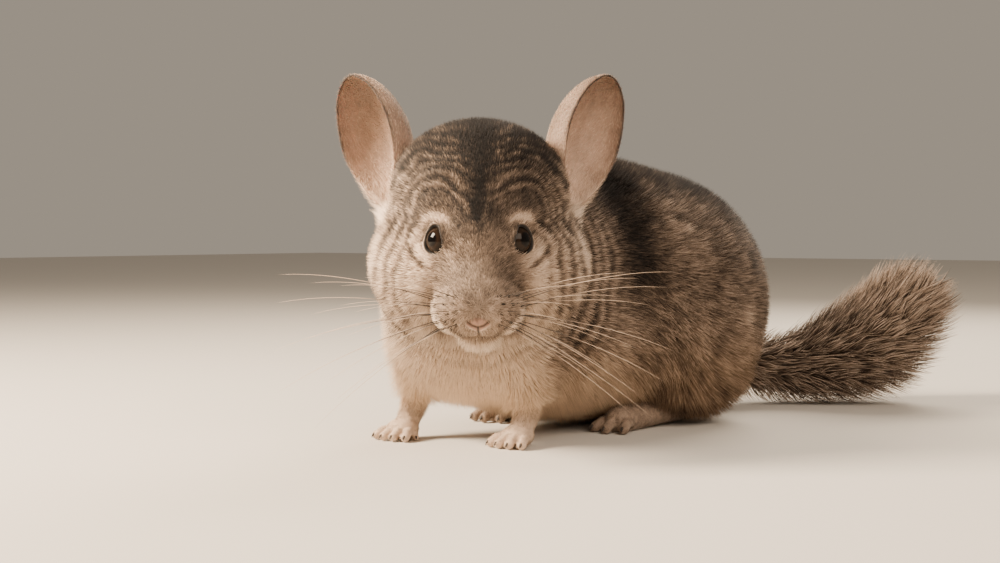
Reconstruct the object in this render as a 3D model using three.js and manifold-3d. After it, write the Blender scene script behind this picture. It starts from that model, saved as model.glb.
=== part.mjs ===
// A grey long-tailed chinchilla standing on all fours with its head turned to its left, life size.
// Millimetres, +Z up. The animal faces -Y and its own left side is towards +X.
// The solids reach out to the tips of the coat, and each sub-part is a closed body of its own.
import * as THREE from "three";
import { mergeVertices } from "three/addons/utils/BufferGeometryUtils.js";
import Module from "manifold-3d";

const wasm = await Module();
wasm.setup();

// Driving dimensions
const GAP = 0.3; // clear space kept between neighbouring sub-parts
const RUMP_WIDTH = 124;
const BACK_HEIGHT = 128;
const SPINE_BEND = 10; // how far the rump stands to the left of the front feet
const HEAD_TURN = THREE.MathUtils.degToRad(37);
const HEAD_CENTRE = new THREE.Vector3(28, -21, 91);
const EYEBALL_RADIUS = 6.2;
const EYE_ANGLE = THREE.MathUtils.degToRad(46); // each eye's axis from straight ahead
const EYE_SINK = 4.4; // how far an eyeball's centre lies under the coat
const EAR_LENGTH = 63.5;
const EAR_RADIUS = 17.7;
const EAR_ROOT_RADIUS = 4;
const EAR_CROWN = 0.56; // share of its length where the ear begins to round off
const EAR_ROOT = new THREE.Vector3(29.5, 7, 4);
const EAR_LEAN = THREE.MathUtils.degToRad(24);
const EAR_OPENING = THREE.MathUtils.degToRad(46); // where the ear opens, from straight ahead
const EAR_CUT_SLANT = THREE.MathUtils.degToRad(-7.5); // the opening leans back towards the ear's tip
const EAR_THICKNESS = 1.2;
const FOREFOOT_SPREAD = 27; // each front foot from the middle line
const HINDFOOT_SPREAD = 34;
const HINDFOOT_START = 72; // the hind toes' knuckles, behind the front wrists
const WRIST_HEIGHT = 11;
const COAT_BLEND = 16; // how softly the masses of the coat run together
const FACE_BLEND = 7;

const SIDES = { left: 1, right: -1 };
const UP = new THREE.Vector3(0, 0, 1);
const v3 = (x, y, z) => new THREE.Vector3(x, y, z);
const degrees = THREE.MathUtils.degToRad;
const { lerp, clamp, smoothstep } = THREE.MathUtils;

// Colours and finishes
const COATS = {
  back: finish(0x55504c, 0.95),
  face: finish(0x7d746c, 0.95),
  belly: finish(0xcdbfa8, 0.95),
  ear: finish(0xb08f7e, 0.6),
  nose: finish(0xb08472, 0.55),
  eye: finish(0x0b0a0c, 0.08),
  foot: finish(0xb5a79b, 0.8),
  tail: finish(0x4a423c, 0.95),
};

function finish(color, roughness) {
  return new THREE.MeshStandardMaterial({ color, roughness, metalness: 0 });
}

// Solids

// A closed body from a three.js geometry whose faces point outwards.
function solid(geometry) {
  const bare = new THREE.BufferGeometry();
  bare.setAttribute("position", geometry.getAttribute("position"));
  bare.setIndex(geometry.index);
  const merged = mergeVertices(bare, 1e-4);
  const corners = merged.index.array;
  const kept = [];
  for (let i = 0; i < corners.length; i += 3) {
    const [a, b, c] = corners.slice(i, i + 3);
    if (a !== b && b !== c && c !== a) kept.push(a, b, c);
  }
  return new wasm.Manifold(
    new wasm.Mesh({
      numProp: 3,
      vertProperties: merged.attributes.position.array,
      triVerts: new Uint32Array(kept),
    }),
  );
}

// The three.js mesh of a body. A sealed hollow or a loose scrap left by a cut is dropped.
function named(name, body, material) {
  const largest = body.decompose().reduce((a, b) => (b.volume() > a.volume() ? b : a));
  const mesh = largest.getMesh();
  const geometry = new THREE.BufferGeometry();
  geometry.setAttribute("position", new THREE.BufferAttribute(mesh.vertProperties, 3));
  geometry.setIndex(new THREE.BufferAttribute(mesh.triVerts, 1));
  geometry.computeVertexNormals();
  const made = new THREE.Mesh(geometry, material);
  made.name = name;
  return made;
}

const union = (bodies) => wasm.Manifold.union(bodies);

// The part of a body that lies ahead of a plane, in the direction of its normal.
function aheadOf(body, point, normal, clearance = GAP / 2) {
  return body.trimByPlane(normal.toArray(), point.dot(normal) + clearance);
}

const onFloor = (body) => body.trimByPlane([0, 0, 1], 0);

function ellipsoid(centre, radii, detail = 5) {
  const geometry = new THREE.IcosahedronGeometry(1, detail);
  geometry.scale(...radii);
  geometry.translate(...centre);
  return geometry;
}

// A closed body along a curve. radiusAt gives its half width for a share of the length, flatness its
// thickness as a share of its width, up the way its flat side faces, and swell a coat added all round.
function sweep(
  curve,
  radiusAt,
  { sides = 12, steps = 10, flatness = 1, up = UP, end = 0.03, swell = 0 } = {},
) {
  const profile = [new THREE.Vector2(0, 0)];
  for (let i = 0; i <= steps; i++) {
    const share = lerp(end / 2, 1 - end / 2, i / steps);
    profile.push(new THREE.Vector2(radiusAt(share), share));
  }
  profile.push(new THREE.Vector2(0, 1));
  const geometry = new THREE.LatheGeometry(profile, sides);
  const position = geometry.attributes.position;
  for (let i = 0; i < position.count; i++) {
    const share = clamp(position.getY(i), 0, 1);
    const along = curve.getTangentAt(share);
    const across = along.clone().cross(up).normalize();
    const over = across.clone().cross(along);
    const offset = across.multiplyScalar(position.getX(i));
    offset.addScaledVector(over, position.getZ(i) * flatness);
    offset.setLength(offset.length() > 0 ? offset.length() + swell : 0);
    const at = curve.getPointAt(share).add(offset);
    if (share === 0 || share === 1) at.addScaledVector(along, share === 0 ? -swell : swell);
    position.setXYZ(i, at.x, at.y, at.z);
  }
  return geometry;
}

const through = (...points) => new THREE.CatmullRomCurve3(points.map((p) => v3(...p)));

// A radius that changes evenly between named values along a length.
function taper(...radii) {
  return (share) => {
    const place = share * (radii.length - 1);
    const i = Math.min(Math.floor(place), radii.length - 2);
    return lerp(radii[i], radii[i + 1], place - i);
  };
}

// A repeatable series of numbers from 0 to 1
function seeded(seed) {
  let state = seed;
  return () => {
    state = (state * 1664525 + 1013904223) % 4294967296;
    return state / 4294967296;
  };
}

// The coat as one soft surface

// An ellipsoid of flesh and fur, whose distance is negative inside.
function mass(centre, radii) {
  const middle = v3(...centre);
  const size = v3(...radii);
  const smallest = Math.min(...radii);
  const near = v3();
  return (p) => {
    near.subVectors(p, middle).divide(size);
    const share = near.length();
    const steepness = near.divide(size).length();
    return steepness < 1e-6 ? -smallest : (share * (share - 1)) / steepness;
  };
}

function blended(masses, softness) {
  return (p) => masses.map((m) => m(p)).reduce((a, b) => softMin(a, b, softness));
}

function softMin(a, b, softness) {
  const overlap = Math.max(softness - Math.abs(a - b), 0) / softness;
  return Math.min(a, b) - (overlap * overlap * softness) / 4;
}

// Each vertex of a unit geometry moved out from a centre until it meets a coat's surface.
function drawnOut(geometry, centre, coat, proud = 0) {
  const position = geometry.attributes.position;
  const ray = v3();
  const at = v3();
  for (let i = 0; i < position.count; i++) {
    ray.fromBufferAttribute(position, i).normalize();
    let reach = 0;
    for (let step = 0; step < 80; step++) {
      const inside = proud - coat(at.copy(centre).addScaledVector(ray, reach));
      if (inside < 0.01) break;
      reach += inside * 0.8;
    }
    position.setXYZ(i, at.x, at.y, at.z);
  }
  return geometry;
}

// A unit ball of even triangles, closer together towards one direction.
function focusedBall(detail, focus, pull) {
  const geometry = new THREE.IcosahedronGeometry(1, detail);
  const position = geometry.attributes.position;
  const ray = v3();
  for (let i = 0; i < position.count; i++) {
    ray.fromBufferAttribute(position, i).addScaledVector(focus, pull).normalize();
    position.setXYZ(i, ray.x, ray.y, ray.z);
  }
  return geometry;
}

const RUMP_CENTRE = v3(SPINE_BEND + 1, 125, BACK_HEIGHT / 2 - 2);
const TORSO_CENTRE = v3(6, 76, 66);
const HAUNCH_OUT = RUMP_WIDTH / 2 - 25; // each thigh's middle from the spine
const haunchCentre = (side) => [SPINE_BEND + side * HAUNCH_OUT, 118, 46];

const torsoCoat = blended(
  [
    mass(RUMP_CENTRE.toArray(), [RUMP_WIDTH / 2 - 1, 66, BACK_HEIGHT / 2 - 6]),
    mass(haunchCentre(1), [27, 42, 42]),
    mass(haunchCentre(-1), [27, 42, 42]),
    mass([SPINE_BEND * 0.7, 86, 68], [53, 56, 58]),
    mass([SPINE_BEND * 0.5, 36, 68], [47, 44, 53]),
    mass([3, 2, 50], [37, 32, 33]),
    mass([8, -6, 60], [38, 29, 29]),
    mass([6, 66, 40], [46, 60, 32]),
    mass([FOREFOOT_SPREAD + 2, 8, 37], [13, 15, 20]),
    mass([-FOREFOOT_SPREAD + 4, 2, 37], [13, 15, 20]),
  ],
  COAT_BLEND,
);

// The head's own frame: its origin in the middle of the skull, facing -Y.
const headPlace = new THREE.Matrix4()
  .makeRotationZ(HEAD_TURN)
  .setPosition(HEAD_CENTRE);
const headPlaceBack = headPlace.clone().invert();

const faceCoat = blended(
  [
    mass([0, -3, 15], [36, 33, 29]),
    mass([0, 16, 3], [35, 27, 36]),
    mass([20, -2, -14], [24, 30, 26]),
    mass([-20, -2, -14], [24, 30, 26]),
    mass([0, -20, -8], [23, 21, 28]),
    mass([0, -33, -27], [15, 17, 14]),
    mass([8, -42, -31], [10, 9.5, 9.5]),
    mass([-8, -42, -31], [10, 9.5, 9.5]),
    mass([17, -23, 6], [8, 9, 7]),
    mass([-17, -23, 6], [8, 9, 7]),
  ],
  FACE_BLEND,
);

const localPoint = v3();
const headCoat = (p) => faceCoat(localPoint.copy(p).applyMatrix4(headPlaceBack));
const wholeCoat = (p) => softMin(torsoCoat(p), headCoat(p), COAT_BLEND);
const worldPoint = v3();
const headCoatHere = (p) => wholeCoat(worldPoint.copy(p).applyMatrix4(headPlace));

const FACE_FRONT = v3(0, -1, -0.35).normalize();
const TORSO_DETAIL = 7;
const HEAD_DETAIL = 8;
const skull = v3(0, 0, 0);
const CHEST_FRONT = v3(0, -1, -0.3).normalize();
const bodyCoat = (proud) =>
  solid(drawnOut(focusedBall(TORSO_DETAIL, CHEST_FRONT, 0.38), TORSO_CENTRE, wholeCoat, proud));
const faceCoatSolid = (proud) =>
  solid(drawnOut(focusedBall(HEAD_DETAIL, FACE_FRONT, 0.34), skull, headCoatHere, proud));
const torsoBody = bodyCoat(0);
const torsoProud = bodyCoat(GAP);
const headBody = faceCoatSolid(0);
const headProud = faceCoatSolid(GAP);

// The planes where the neck begins and ends, the first in the head's own frame
const NAPE = v3(0, 30, 30);
const NAPE_FACING = v3(0, -0.85, 0.53).normalize();
const NECK_TOP = NAPE.clone().applyMatrix4(headPlace);
const NECK_TOP_FACING = NAPE_FACING.clone().transformDirection(headPlace);
const NECK_CENTRE = v3(16, 8, 80);
const NECK_FOOT = v3(6, 20, 80);
const NECK_FOOT_FACING = v3(0.35, -0.75, 0.75).normalize();

function torso() {
  let body = aheadOf(torsoBody, NECK_FOOT, NECK_FOOT_FACING.clone().negate());
  for (const side of Object.values(SIDES)) {
    body = body.subtract(solid(haunchCutter(side, GAP)));
  }
  return onFloor(body);
}

function haunchCutter(side, proud = 0) {
  const [x, y, z] = haunchCentre(side);
  return ellipsoid([x + side * 8, y + 4, z - 3], [27 + proud, 47 + proud, 50 + proud], 4);
}

const haunch = (side) => onFloor(torsoBody.intersect(solid(haunchCutter(side))));

function neck() {
  const around = drawnOut(new THREE.IcosahedronGeometry(1, 5), NECK_CENTRE, wholeCoat);
  const behindHead = aheadOf(solid(around), NECK_TOP, NECK_TOP_FACING.clone().negate());
  return aheadOf(behindHead, NECK_FOOT, NECK_FOOT_FACING);
}

// Head

const MUZZLE_ROOT = v3(0, -33, -26);
const MUZZLE_FACING = v3(0, -1, -0.45).normalize();
const NOSE_TIP = v3(0, -49.5, -36);

// A point on the coat straight out from the skull's middle along a direction.
function onFace(direction) {
  const probe = new THREE.BufferGeometry();
  probe.setAttribute("position", new THREE.Float32BufferAttribute(direction.toArray(), 3));
  return v3().fromBufferAttribute(drawnOut(probe, skull, headCoatHere).attributes.position, 0);
}

const eyeAxis = (side) => v3(side * Math.sin(EYE_ANGLE), -Math.cos(EYE_ANGLE), 0.12).normalize();
const eyeCentre = (side) =>
  onFace(v3(side * 0.5, -1, -0.13).normalize()).addScaledVector(eyeAxis(side), -EYE_SINK);

const LID_THICKNESS = 1.3;
const eyeball = (side, extra = 0) =>
  solid(ellipsoid(eyeCentre(side).toArray(), Array(3).fill(EYEBALL_RADIUS + extra), 3));

// The opening between upper and lower lid, an upright oval
function eyeOpening(side) {
  const opening = new THREE.SphereGeometry(1, 16, 10);
  opening.scale(5.5, 6, 5.8);
  opening.rotateZ(side * EYE_ANGLE);
  opening.translate(...eyeCentre(side).addScaledVector(eyeAxis(side), 7).toArray());
  return solid(opening);
}

function head() {
  let body = union([headBody, eyeball(1, LID_THICKNESS), eyeball(-1, LID_THICKNESS)]);
  for (const side of Object.values(SIDES)) {
    body = body.subtract(eyeOpening(side)).subtract(eyeball(side, GAP));
  }
  body = aheadOf(body, NAPE, NAPE_FACING);
  return aheadOf(body, MUZZLE_ROOT, MUZZLE_FACING.clone().negate());
}

const WHISKER_ROWS = 4;
const WHISKERS_PER_ROW = 3;

// The two whisker pads, with the lip cleft between them
function muzzle() {
  const front = aheadOf(headBody, MUZZLE_ROOT, MUZZLE_FACING);
  const cleft = new THREE.SphereGeometry(1, 12, 8);
  cleft.scale(0.7, 4, 5.5);
  cleft.translate(0, -47.5, -43);
  const shorn = front.subtract(solid(cleft)).subtract(solid(noseShape(GAP)));
  return union([shorn, ...whiskers(1), ...whiskers(-1)]);
}

function whiskers(side) {
  const draw = seeded(side + 5);
  const grown = [];
  for (let row = 0; row < WHISKER_ROWS; row++) {
    for (let column = 0; column < WHISKERS_PER_ROW; column++) {
      grown.push(whisker(side, row, column, draw() - 0.5));
    }
  }
  return grown;
}

// One whisker of a pad: the upper rows sweep up, the lower ones droop, and the rear ones are longest.
function whisker(side, row, column, chance) {
  const root = v3(side * (8 + column * 3), -44 + column * 3, -26 - row * 3.6);
  const length = 42 + column * 12 - row * 3 + chance * 10;
  const rise = 0.34 - row * 0.24 + chance * 0.16;
  const out = v3(side * 0.93, -0.3 + column * 0.07, rise).normalize();
  const middle = root.clone().addScaledVector(out, length * 0.5);
  const tip = middle.clone().add(v3(side * 0.4, 0.2, rise * 0.4 - 0.16).multiplyScalar(length));
  const curve = new THREE.QuadraticBezierCurve3(root, middle, tip);
  return solid(sweep(curve, taper(0.45, 0.34, 0.16), { sides: 3, steps: 4 }));
}

// A small rounded triangle, wider at the top
function noseShape(proud = 0) {
  const geometry = new THREE.IcosahedronGeometry(1, 3);
  const position = geometry.attributes.position;
  for (let i = 0; i < position.count; i++) {
    const z = position.getZ(i);
    const width = lerp(3.4, 6.4, smoothstep(z, -1, 0.5)) + proud;
    position.setXYZ(i, position.getX(i) * width, position.getY(i) * (4 + proud), z * (4.6 + proud));
  }
  geometry.translate(...NOSE_TIP.toArray());
  return geometry;
}

function nose() {
  let body = solid(noseShape());
  for (const side of Object.values(SIDES)) {
    const nostril = through(
      [side * 1.6, -54.5, -38.4],
      [side * 3, -53.6, -36.6],
      [side * 4.6, -52, -35.6],
    );
    body = body.subtract(solid(sweep(nostril, taper(0.5, 0.9, 0.6), { sides: 8, steps: 6 })));
  }
  return body;
}

function lowerJaw() {
  const chin = solid(ellipsoid([0, -31, -40], [8.5, 11, 5.4], 3));
  return chin.subtract(headProud);
}

// An ear is a tall egg of thin skin, narrow at its root, that a slanting cut opens. Its two faces
// are split alike, because both come from the same turned outline.
function ear(side) {
  const opening = new THREE.BoxGeometry(90, 60, 160);
  opening.translate(0, -30, 0);
  opening.rotateX(EAR_CUT_SLANT);
  opening.translate(0, -4.1, EAR_LENGTH / 2);
  const dish = solid(earShape(0)).subtract(solid(earShape(EAR_THICKNESS))).subtract(solid(opening));
  const place = new THREE.Matrix4()
    .makeTranslation(...EAR_ROOT.toArray())
    .multiply(new THREE.Matrix4().makeRotationY(EAR_LEAN))
    .multiply(new THREE.Matrix4().makeRotationX(degrees(-6)))
    .multiply(new THREE.Matrix4().makeRotationZ(EAR_OPENING));
  const left = dish.transform(place.toArray());
  return (side > 0 ? left : left.mirror([1, 0, 0])).subtract(headProud);
}

function earShape(inset) {
  const rings = 9;
  const profile = [new THREE.Vector2(0, inset - 2)];
  for (let i = 0; i <= rings; i++) {
    const share = Math.sin((i / rings) * (Math.PI / 2));
    const radius = i < rings ? Math.max(earRadius(share) - inset, 0.2) : 0;
    profile.push(new THREE.Vector2(radius, Math.min(share * EAR_LENGTH, EAR_LENGTH - inset)));
  }
  const geometry = new THREE.LatheGeometry(profile, 20);
  geometry.rotateX(Math.PI / 2);
  geometry.scale(1, 0.85, 1);
  return geometry;
}

// The ear's radius for a share of its length: it widens from its root and then rounds off.
function earRadius(share) {
  const flare = lerp(EAR_ROOT_RADIUS, EAR_RADIUS, smoothstep(share, -0.2, 0.6));
  const crown = clamp((share - EAR_CROWN) / (1 - EAR_CROWN), 0, 1);
  return flare * Math.sqrt(1 - crown ** 2);
}

// Legs

const forelegPlace = (side) => v3(3 + side * FOREFOOT_SPREAD, 2 + side * 5, 0);

function forelegCurve(side) {
  const { x, y } = forelegPlace(side);
  return through([x, y - 4, 4], [x, y + 1, 11], [x - side, y + 4, 22], [x - side * 2, y + 3, 44]);
}

const forelegShape = (side) =>
  solid(sweep(forelegCurve(side), taper(6, 5, 5.6, 9, 12), { sides: 14, steps: 12 }));

const foreleg = (side) =>
  aheadOf(forelegShape(side), v3(0, 0, WRIST_HEIGHT), UP).subtract(torsoProud);

// A toe with its claw, from a knuckle to where it meets the floor
function toe(knuckle, turn, length, girth) {
  const out = v3(Math.sin(turn), -Math.cos(turn), 0);
  const tip = knuckle.clone().addScaledVector(out, length).setZ(girth * 0.9);
  const bend = knuckle.clone().lerp(tip, 0.5).add(v3(0, 0, girth * 0.5));
  const curve = new THREE.QuadraticBezierCurve3(knuckle, bend, tip);
  const pad = sweep(curve, taper(girth, girth * 0.9, girth * 1.05, girth * 0.6), {
    sides: 6,
    steps: 4,
    end: 0.16,
  });
  const clawTip = tip.clone().addScaledVector(out, girth * 1.15).setZ(0.6);
  const clawBend = tip.clone().addScaledVector(out, girth * 0.8).setZ(girth);
  const clawCurve = new THREE.QuadraticBezierCurve3(tip, clawBend, clawTip);
  const claw = sweep(clawCurve, taper(girth * 0.45, girth * 0.34, 0.25), { sides: 4, steps: 2 });
  return [solid(pad), solid(claw)];
}

function forepaw(side) {
  const { x, y } = forelegPlace(side);
  const palm = solid(ellipsoid([x, y - 5, 4.4], [7.2, 7, 5], 2));
  const wrist = aheadOf(forelegShape(side), v3(0, 0, WRIST_HEIGHT), UP.clone().negate());
  const toes = [-1.5, -0.5, 0.5, 1.5].flatMap((place) => {
    const knuckle = v3(x + place * 3.6, y - 7 - (1.5 - Math.abs(place)) * 1.4, 4);
    return toe(knuckle, place * degrees(11), 6.4, 2.2);
  });
  const thumb = toe(v3(x - side * 5.6, y - 4, 3), -side * degrees(50), 3.2, 1.6);
  return onFloor(union([palm, wrist, ...toes, ...thumb]));
}

function hindfoot(side) {
  const x = SPINE_BEND * 0.3 + side * HINDFOOT_SPREAD;
  const y = HINDFOOT_START;
  const sole = through(
    [x + side * 3, y + 52, 7.5],
    [x + side * 2, y + 30, 6],
    [x + side, y + 12, 5.6],
    [x, y - 4, 4.8],
  );
  const shank = solid(sweep(sole, taper(7.5, 6.2, 6.4, 8, 6.5), { sides: 14, steps: 12 }));
  const toes = [-1, 0, 1].flatMap((place) => {
    const knuckle = v3(x + place * 5.2, y - 2 - (1 - Math.abs(place)) * 2.4, 4.6);
    return toe(knuckle, place * degrees(11), 9, 2.7);
  });
  const inner = toe(v3(x - side * 8, y + 5, 3.6), -side * degrees(20), 6, 2.1);
  return onFloor(union([shank, ...toes, ...inner])).subtract(torsoProud);
}

// Tail

const tailCurve = through(
  [13, 164, 34],
  [24, 194, 23],
  [42, 218, 19.5],
  [60, 234, 24],
  [78, 248, 33],
  [92, 259, 49],
);
const TAIL_CUTS = [0.5, 0.76];
const TAIL_NAMES = ["tail_root", "tail_middle", "tail_tip"];
const brushRadius = taper(16, 18, 21, 27, 32, 33, 26); // out to the tips of the locks
const CORE_SHARE = 0.44; // the core's radius as a share of the brush's
const LOCK_ROOT = 0.45; // how far out in the core a lock begins
const LOCK_ROWS = 10;
const LOCKS_PER_ROW = 6;
const FIRST_ROW = 0.18; // share of the tail's length where its long hair begins
const LOCK_HALF_WIDTH = 7.5;
const LOCK_FLATNESS = 0.3;
const LOCK_RISE = [degrees(48), degrees(24)]; // its slope from the tail at its root and near its tip
const LOWEST_LOCK = -1.2; // locks that would go lower lie on the floor, flattened

const coreRadius = (share) => brushRadius(share) * CORE_SHARE;

function tailCore() {
  const tapered = (share) => Math.min(coreRadius(share), (1 - share) * 80 + 2);
  return solid(sweep(tailCurve, tapered, { sides: 12, steps: 16 }));
}

const beyond = (body, share) =>
  share > 0 ? aheadOf(body, tailCurve.getPointAt(share), tailCurve.getTangentAt(share)) : body;
const before = (body, share) =>
  share < 1 ? aheadOf(body, tailCurve.getPointAt(share), tailCurve.getTangentAt(share).negate()) : body;

// A flat lock rooted in the core, which bends from its root's slope down to the lie of the tail.
function tailLock({ share, turn, length, rise }, swell = 0) {
  const along = tailCurve.getTangentAt(share);
  const sideways = along.clone().cross(UP).normalize();
  const outward = sideways.clone().cross(along).applyAxisAngle(along, turn);
  const sloped = (angle) =>
    along.clone().multiplyScalar(Math.cos(angle)).addScaledVector(outward, Math.sin(angle));
  const root = tailCurve.getPointAt(share).addScaledVector(outward, coreRadius(share) * LOCK_ROOT);
  const middle = root.clone().addScaledVector(sloped(LOCK_RISE[0] * rise), length / 2);
  const tip = middle.clone().addScaledVector(sloped(LOCK_RISE[1] * rise), length / 2);
  for (const point of [root, middle, tip]) point.z = Math.max(point.z, LOWEST_LOCK);
  const curve = new THREE.QuadraticBezierCurve3(root, middle, tip);
  const halfWidth = (run) => LOCK_HALF_WIDTH * lerp(0.5 + run, 0.12, run ** 3);
  return solid(
    sweep(curve, halfWidth, { sides: 4, steps: 2, end: 0.16, flatness: LOCK_FLATNESS, up: outward, swell }),
  );
}

// Where every lock of the tail grows, in staggered rows from its root to its end
function tailLocks() {
  const draw = seeded(11);
  const locks = [];
  for (let row = 0; row < LOCK_ROWS; row++) {
    const share = lerp(FIRST_ROW, 0.985, row / (LOCK_ROWS - 1));
    const depth = brushRadius(share) - coreRadius(share) * LOCK_ROOT;
    const reach = depth / Math.sin((LOCK_RISE[0] + LOCK_RISE[1]) / 2);
    for (let i = 0; i < LOCKS_PER_ROW; i++) {
      locks.push({
        share: share + (draw() - 0.5) * 0.02,
        turn: ((i + (row % 2) / 2 + draw() * 0.3) / LOCKS_PER_ROW) * 2 * Math.PI,
        length: reach * lerp(0.85, 1.1, draw()),
        rise: lerp(0.85, 1.15, draw()),
      });
    }
  }
  return locks;
}

// The lengths of the tail. Where the locks of one lie over the next, the next is cut clear of them.
function tail() {
  const group = new THREE.Group();
  const ends = [0, ...TAIL_CUTS, 1];
  const locks = tailLocks();
  const core = tailCore();
  let clear = torsoProud;
  TAIL_NAMES.forEach((name, i) => {
    const own = locks.filter((lock) => lock.share >= ends[i] && lock.share < ends[i + 1]);
    const coated = union([before(core, ends[i + 1]), ...own.map((lock) => tailLock(lock))]);
    const body = beyond(coated, ends[i]).subtract(clear);
    group.add(named(name, onFloor(body), COATS.tail));
    clear = union([clear, ...own.map((lock) => tailLock(lock, 2 * GAP))]);
  });
  return group;
}

// The whole animal

function wholeHead() {
  const group = new THREE.Group();
  group.applyMatrix4(headPlace);
  group.add(
    named("head", head(), COATS.face),
    named("muzzle", muzzle(), COATS.face),
    named("nose", nose(), COATS.nose),
    named("lower_jaw", lowerJaw(), COATS.belly),
  );
  for (const [name, side] of Object.entries(SIDES)) {
    group.add(
      named(`eye_${name}`, eyeball(side), COATS.eye),
      named(`ear_${name}`, ear(side), COATS.ear),
    );
  }
  return group;
}

function legs() {
  const group = new THREE.Group();
  for (const [name, side] of Object.entries(SIDES)) {
    group.add(
      named(`foreleg_${name}`, foreleg(side), COATS.belly),
      named(`forepaw_${name}`, forepaw(side), COATS.foot),
      named(`haunch_${name}`, haunch(side), COATS.back),
      named(`hindfoot_${name}`, hindfoot(side), COATS.foot),
    );
  }
  return group;
}

const chinchilla = new THREE.Group();
chinchilla.add(named("torso", torso(), COATS.back), named("neck", neck(), COATS.back));
chinchilla.add(wholeHead(), legs(), tail());

// The origin is put at the middle of the underside of the whole animal's box.
chinchilla.updateMatrixWorld(true);
const box = new THREE.Box3().setFromObject(chinchilla, true);
const middle = box.getCenter(v3());
chinchilla.position.set(-middle.x, -middle.y, -box.min.z);

export default chinchilla;
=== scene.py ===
"""The looks of a grey long-tailed chinchilla that stands on all fours and looks to its left.

Lengths inside the classes are millimetres in the animal's own frame: it faces -Y, its left side is
towards +X and the floor is at z = 0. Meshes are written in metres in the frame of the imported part.
"""

from __future__ import annotations

import logging
import math
from collections.abc import Callable
from dataclasses import dataclass, field
from enum import Enum

import bmesh
import bpy
import numpy as np
from mathutils import Matrix, Vector

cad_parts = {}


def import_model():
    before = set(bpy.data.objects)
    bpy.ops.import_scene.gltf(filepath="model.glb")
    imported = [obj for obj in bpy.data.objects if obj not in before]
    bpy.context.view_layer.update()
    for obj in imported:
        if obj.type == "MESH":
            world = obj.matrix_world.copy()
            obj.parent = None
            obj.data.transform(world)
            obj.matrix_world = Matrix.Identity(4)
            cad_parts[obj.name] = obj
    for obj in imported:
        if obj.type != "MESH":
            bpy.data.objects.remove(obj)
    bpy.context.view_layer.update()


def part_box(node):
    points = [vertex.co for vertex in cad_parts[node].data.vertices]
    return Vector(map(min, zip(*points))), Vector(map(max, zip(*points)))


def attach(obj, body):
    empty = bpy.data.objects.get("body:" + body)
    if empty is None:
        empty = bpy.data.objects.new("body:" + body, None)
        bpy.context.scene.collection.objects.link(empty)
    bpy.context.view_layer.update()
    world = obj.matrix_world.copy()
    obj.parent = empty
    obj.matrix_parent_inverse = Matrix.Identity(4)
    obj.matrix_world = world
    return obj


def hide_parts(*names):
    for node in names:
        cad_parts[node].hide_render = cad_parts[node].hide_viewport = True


LOG = logging.getLogger("chinchilla")
MM = 0.001
FAR = 60.0  # a distance that stands for "nowhere near"
PATCH = 0.003  # how wide a tuft lies on its piece's unwrap
MIDLINE = 3  # where the body's middle is, from right to left
Triple = tuple[float, float, float]


class Side(Enum):
    """The animal's own left and right."""

    LEFT = 1
    RIGHT = -1

    @property
    def word(self) -> str:
        """The side's name as piece names write it."""
        return self.name.lower()


class Region(Enum):
    """The lengths of coat that are each a piece of their own."""

    FACE_LEFT = "coat_face_left"
    FACE_RIGHT = "coat_face_right"
    CROWN = "coat_crown"
    SHOULDER_LEFT = "coat_shoulder_left"
    SHOULDER_RIGHT = "coat_shoulder_right"
    FLANK_LEFT = "coat_flank_left"
    FLANK_RIGHT = "coat_flank_right"
    RUMP_LEFT = "coat_rump_left"
    RUMP_RIGHT = "coat_rump_right"
    LEGS = "coat_legs"


# Plain number work


def eased(value: np.ndarray, start: float, end: float) -> np.ndarray:
    """A smooth step from 0 at start to 1 at end.

    Args:
        value: The numbers to look at.
        start: Where the step begins.
        end: Where it ends.

    Returns:
        One share from 0 to 1 for each number.
    """
    share = np.clip((value - start) / (end - start), 0, 1)
    return share * share * (3 - 2 * share)


def mixed(a: np.ndarray | float, b: np.ndarray | float, share: np.ndarray) -> np.ndarray:
    """The blend of a and b by a share."""
    return a + (b - a) * share


def by_share(
    share: dict[str, np.ndarray], torso: float, head: float, face: float, muzzle: float
) -> np.ndarray:
    """A value that changes from the torso's to the head's, the face's and the muzzle's."""
    value = mixed(torso, head, share["head"])
    value = mixed(value, face, share["face"])
    return mixed(value, muzzle, share["muzzle"])


def hump(value: np.ndarray, middle: float, width: float) -> np.ndarray:
    """A bell that is 1 at its middle."""
    return np.exp(-(((value - middle) / width) ** 2))


def unit(vectors: np.ndarray) -> np.ndarray:
    """Vectors at length 1."""
    return vectors / np.maximum(np.linalg.norm(vectors, axis=-1, keepdims=True), 1e-9)


def soft_min(a: np.ndarray, b: np.ndarray, softness: float) -> np.ndarray:
    """The lower of two distances, with the crease between them filled."""
    overlap = np.maximum(softness - np.abs(a - b), 0) / softness
    return np.minimum(a, b) - overlap**2 * softness / 4


def noise(points: np.ndarray, size: float, seed: int) -> np.ndarray:
    """Smooth noise that repeats from run to run.

    Args:
        points: Places, one row each.
        size: The width of a lump of the noise.
        seed: Which noise it is.

    Returns:
        One number from -1 to 1 for each place.
    """
    cells = points / size
    base = np.floor(cells).astype(np.int64)
    blend = cells - base
    blend = blend * blend * (3 - 2 * blend)
    total = np.zeros(len(points))
    primes = np.array([73856093, 19349663, 83492791])
    for corner in np.ndindex(2, 2, 2):
        offset = np.array(corner)
        code = (base + offset) @ primes + seed * 7919
        code = ((code ^ (code >> 13)) * 1274126177) & 0x7FFFFFFF
        value = ((code ^ (code >> 16)) & 0xFFFF) / 32767.5 - 1
        total += value * np.prod(np.where(offset == 1, blend, 1 - blend), axis=1)
    return total


# The animal's shape as soft distances


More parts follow.
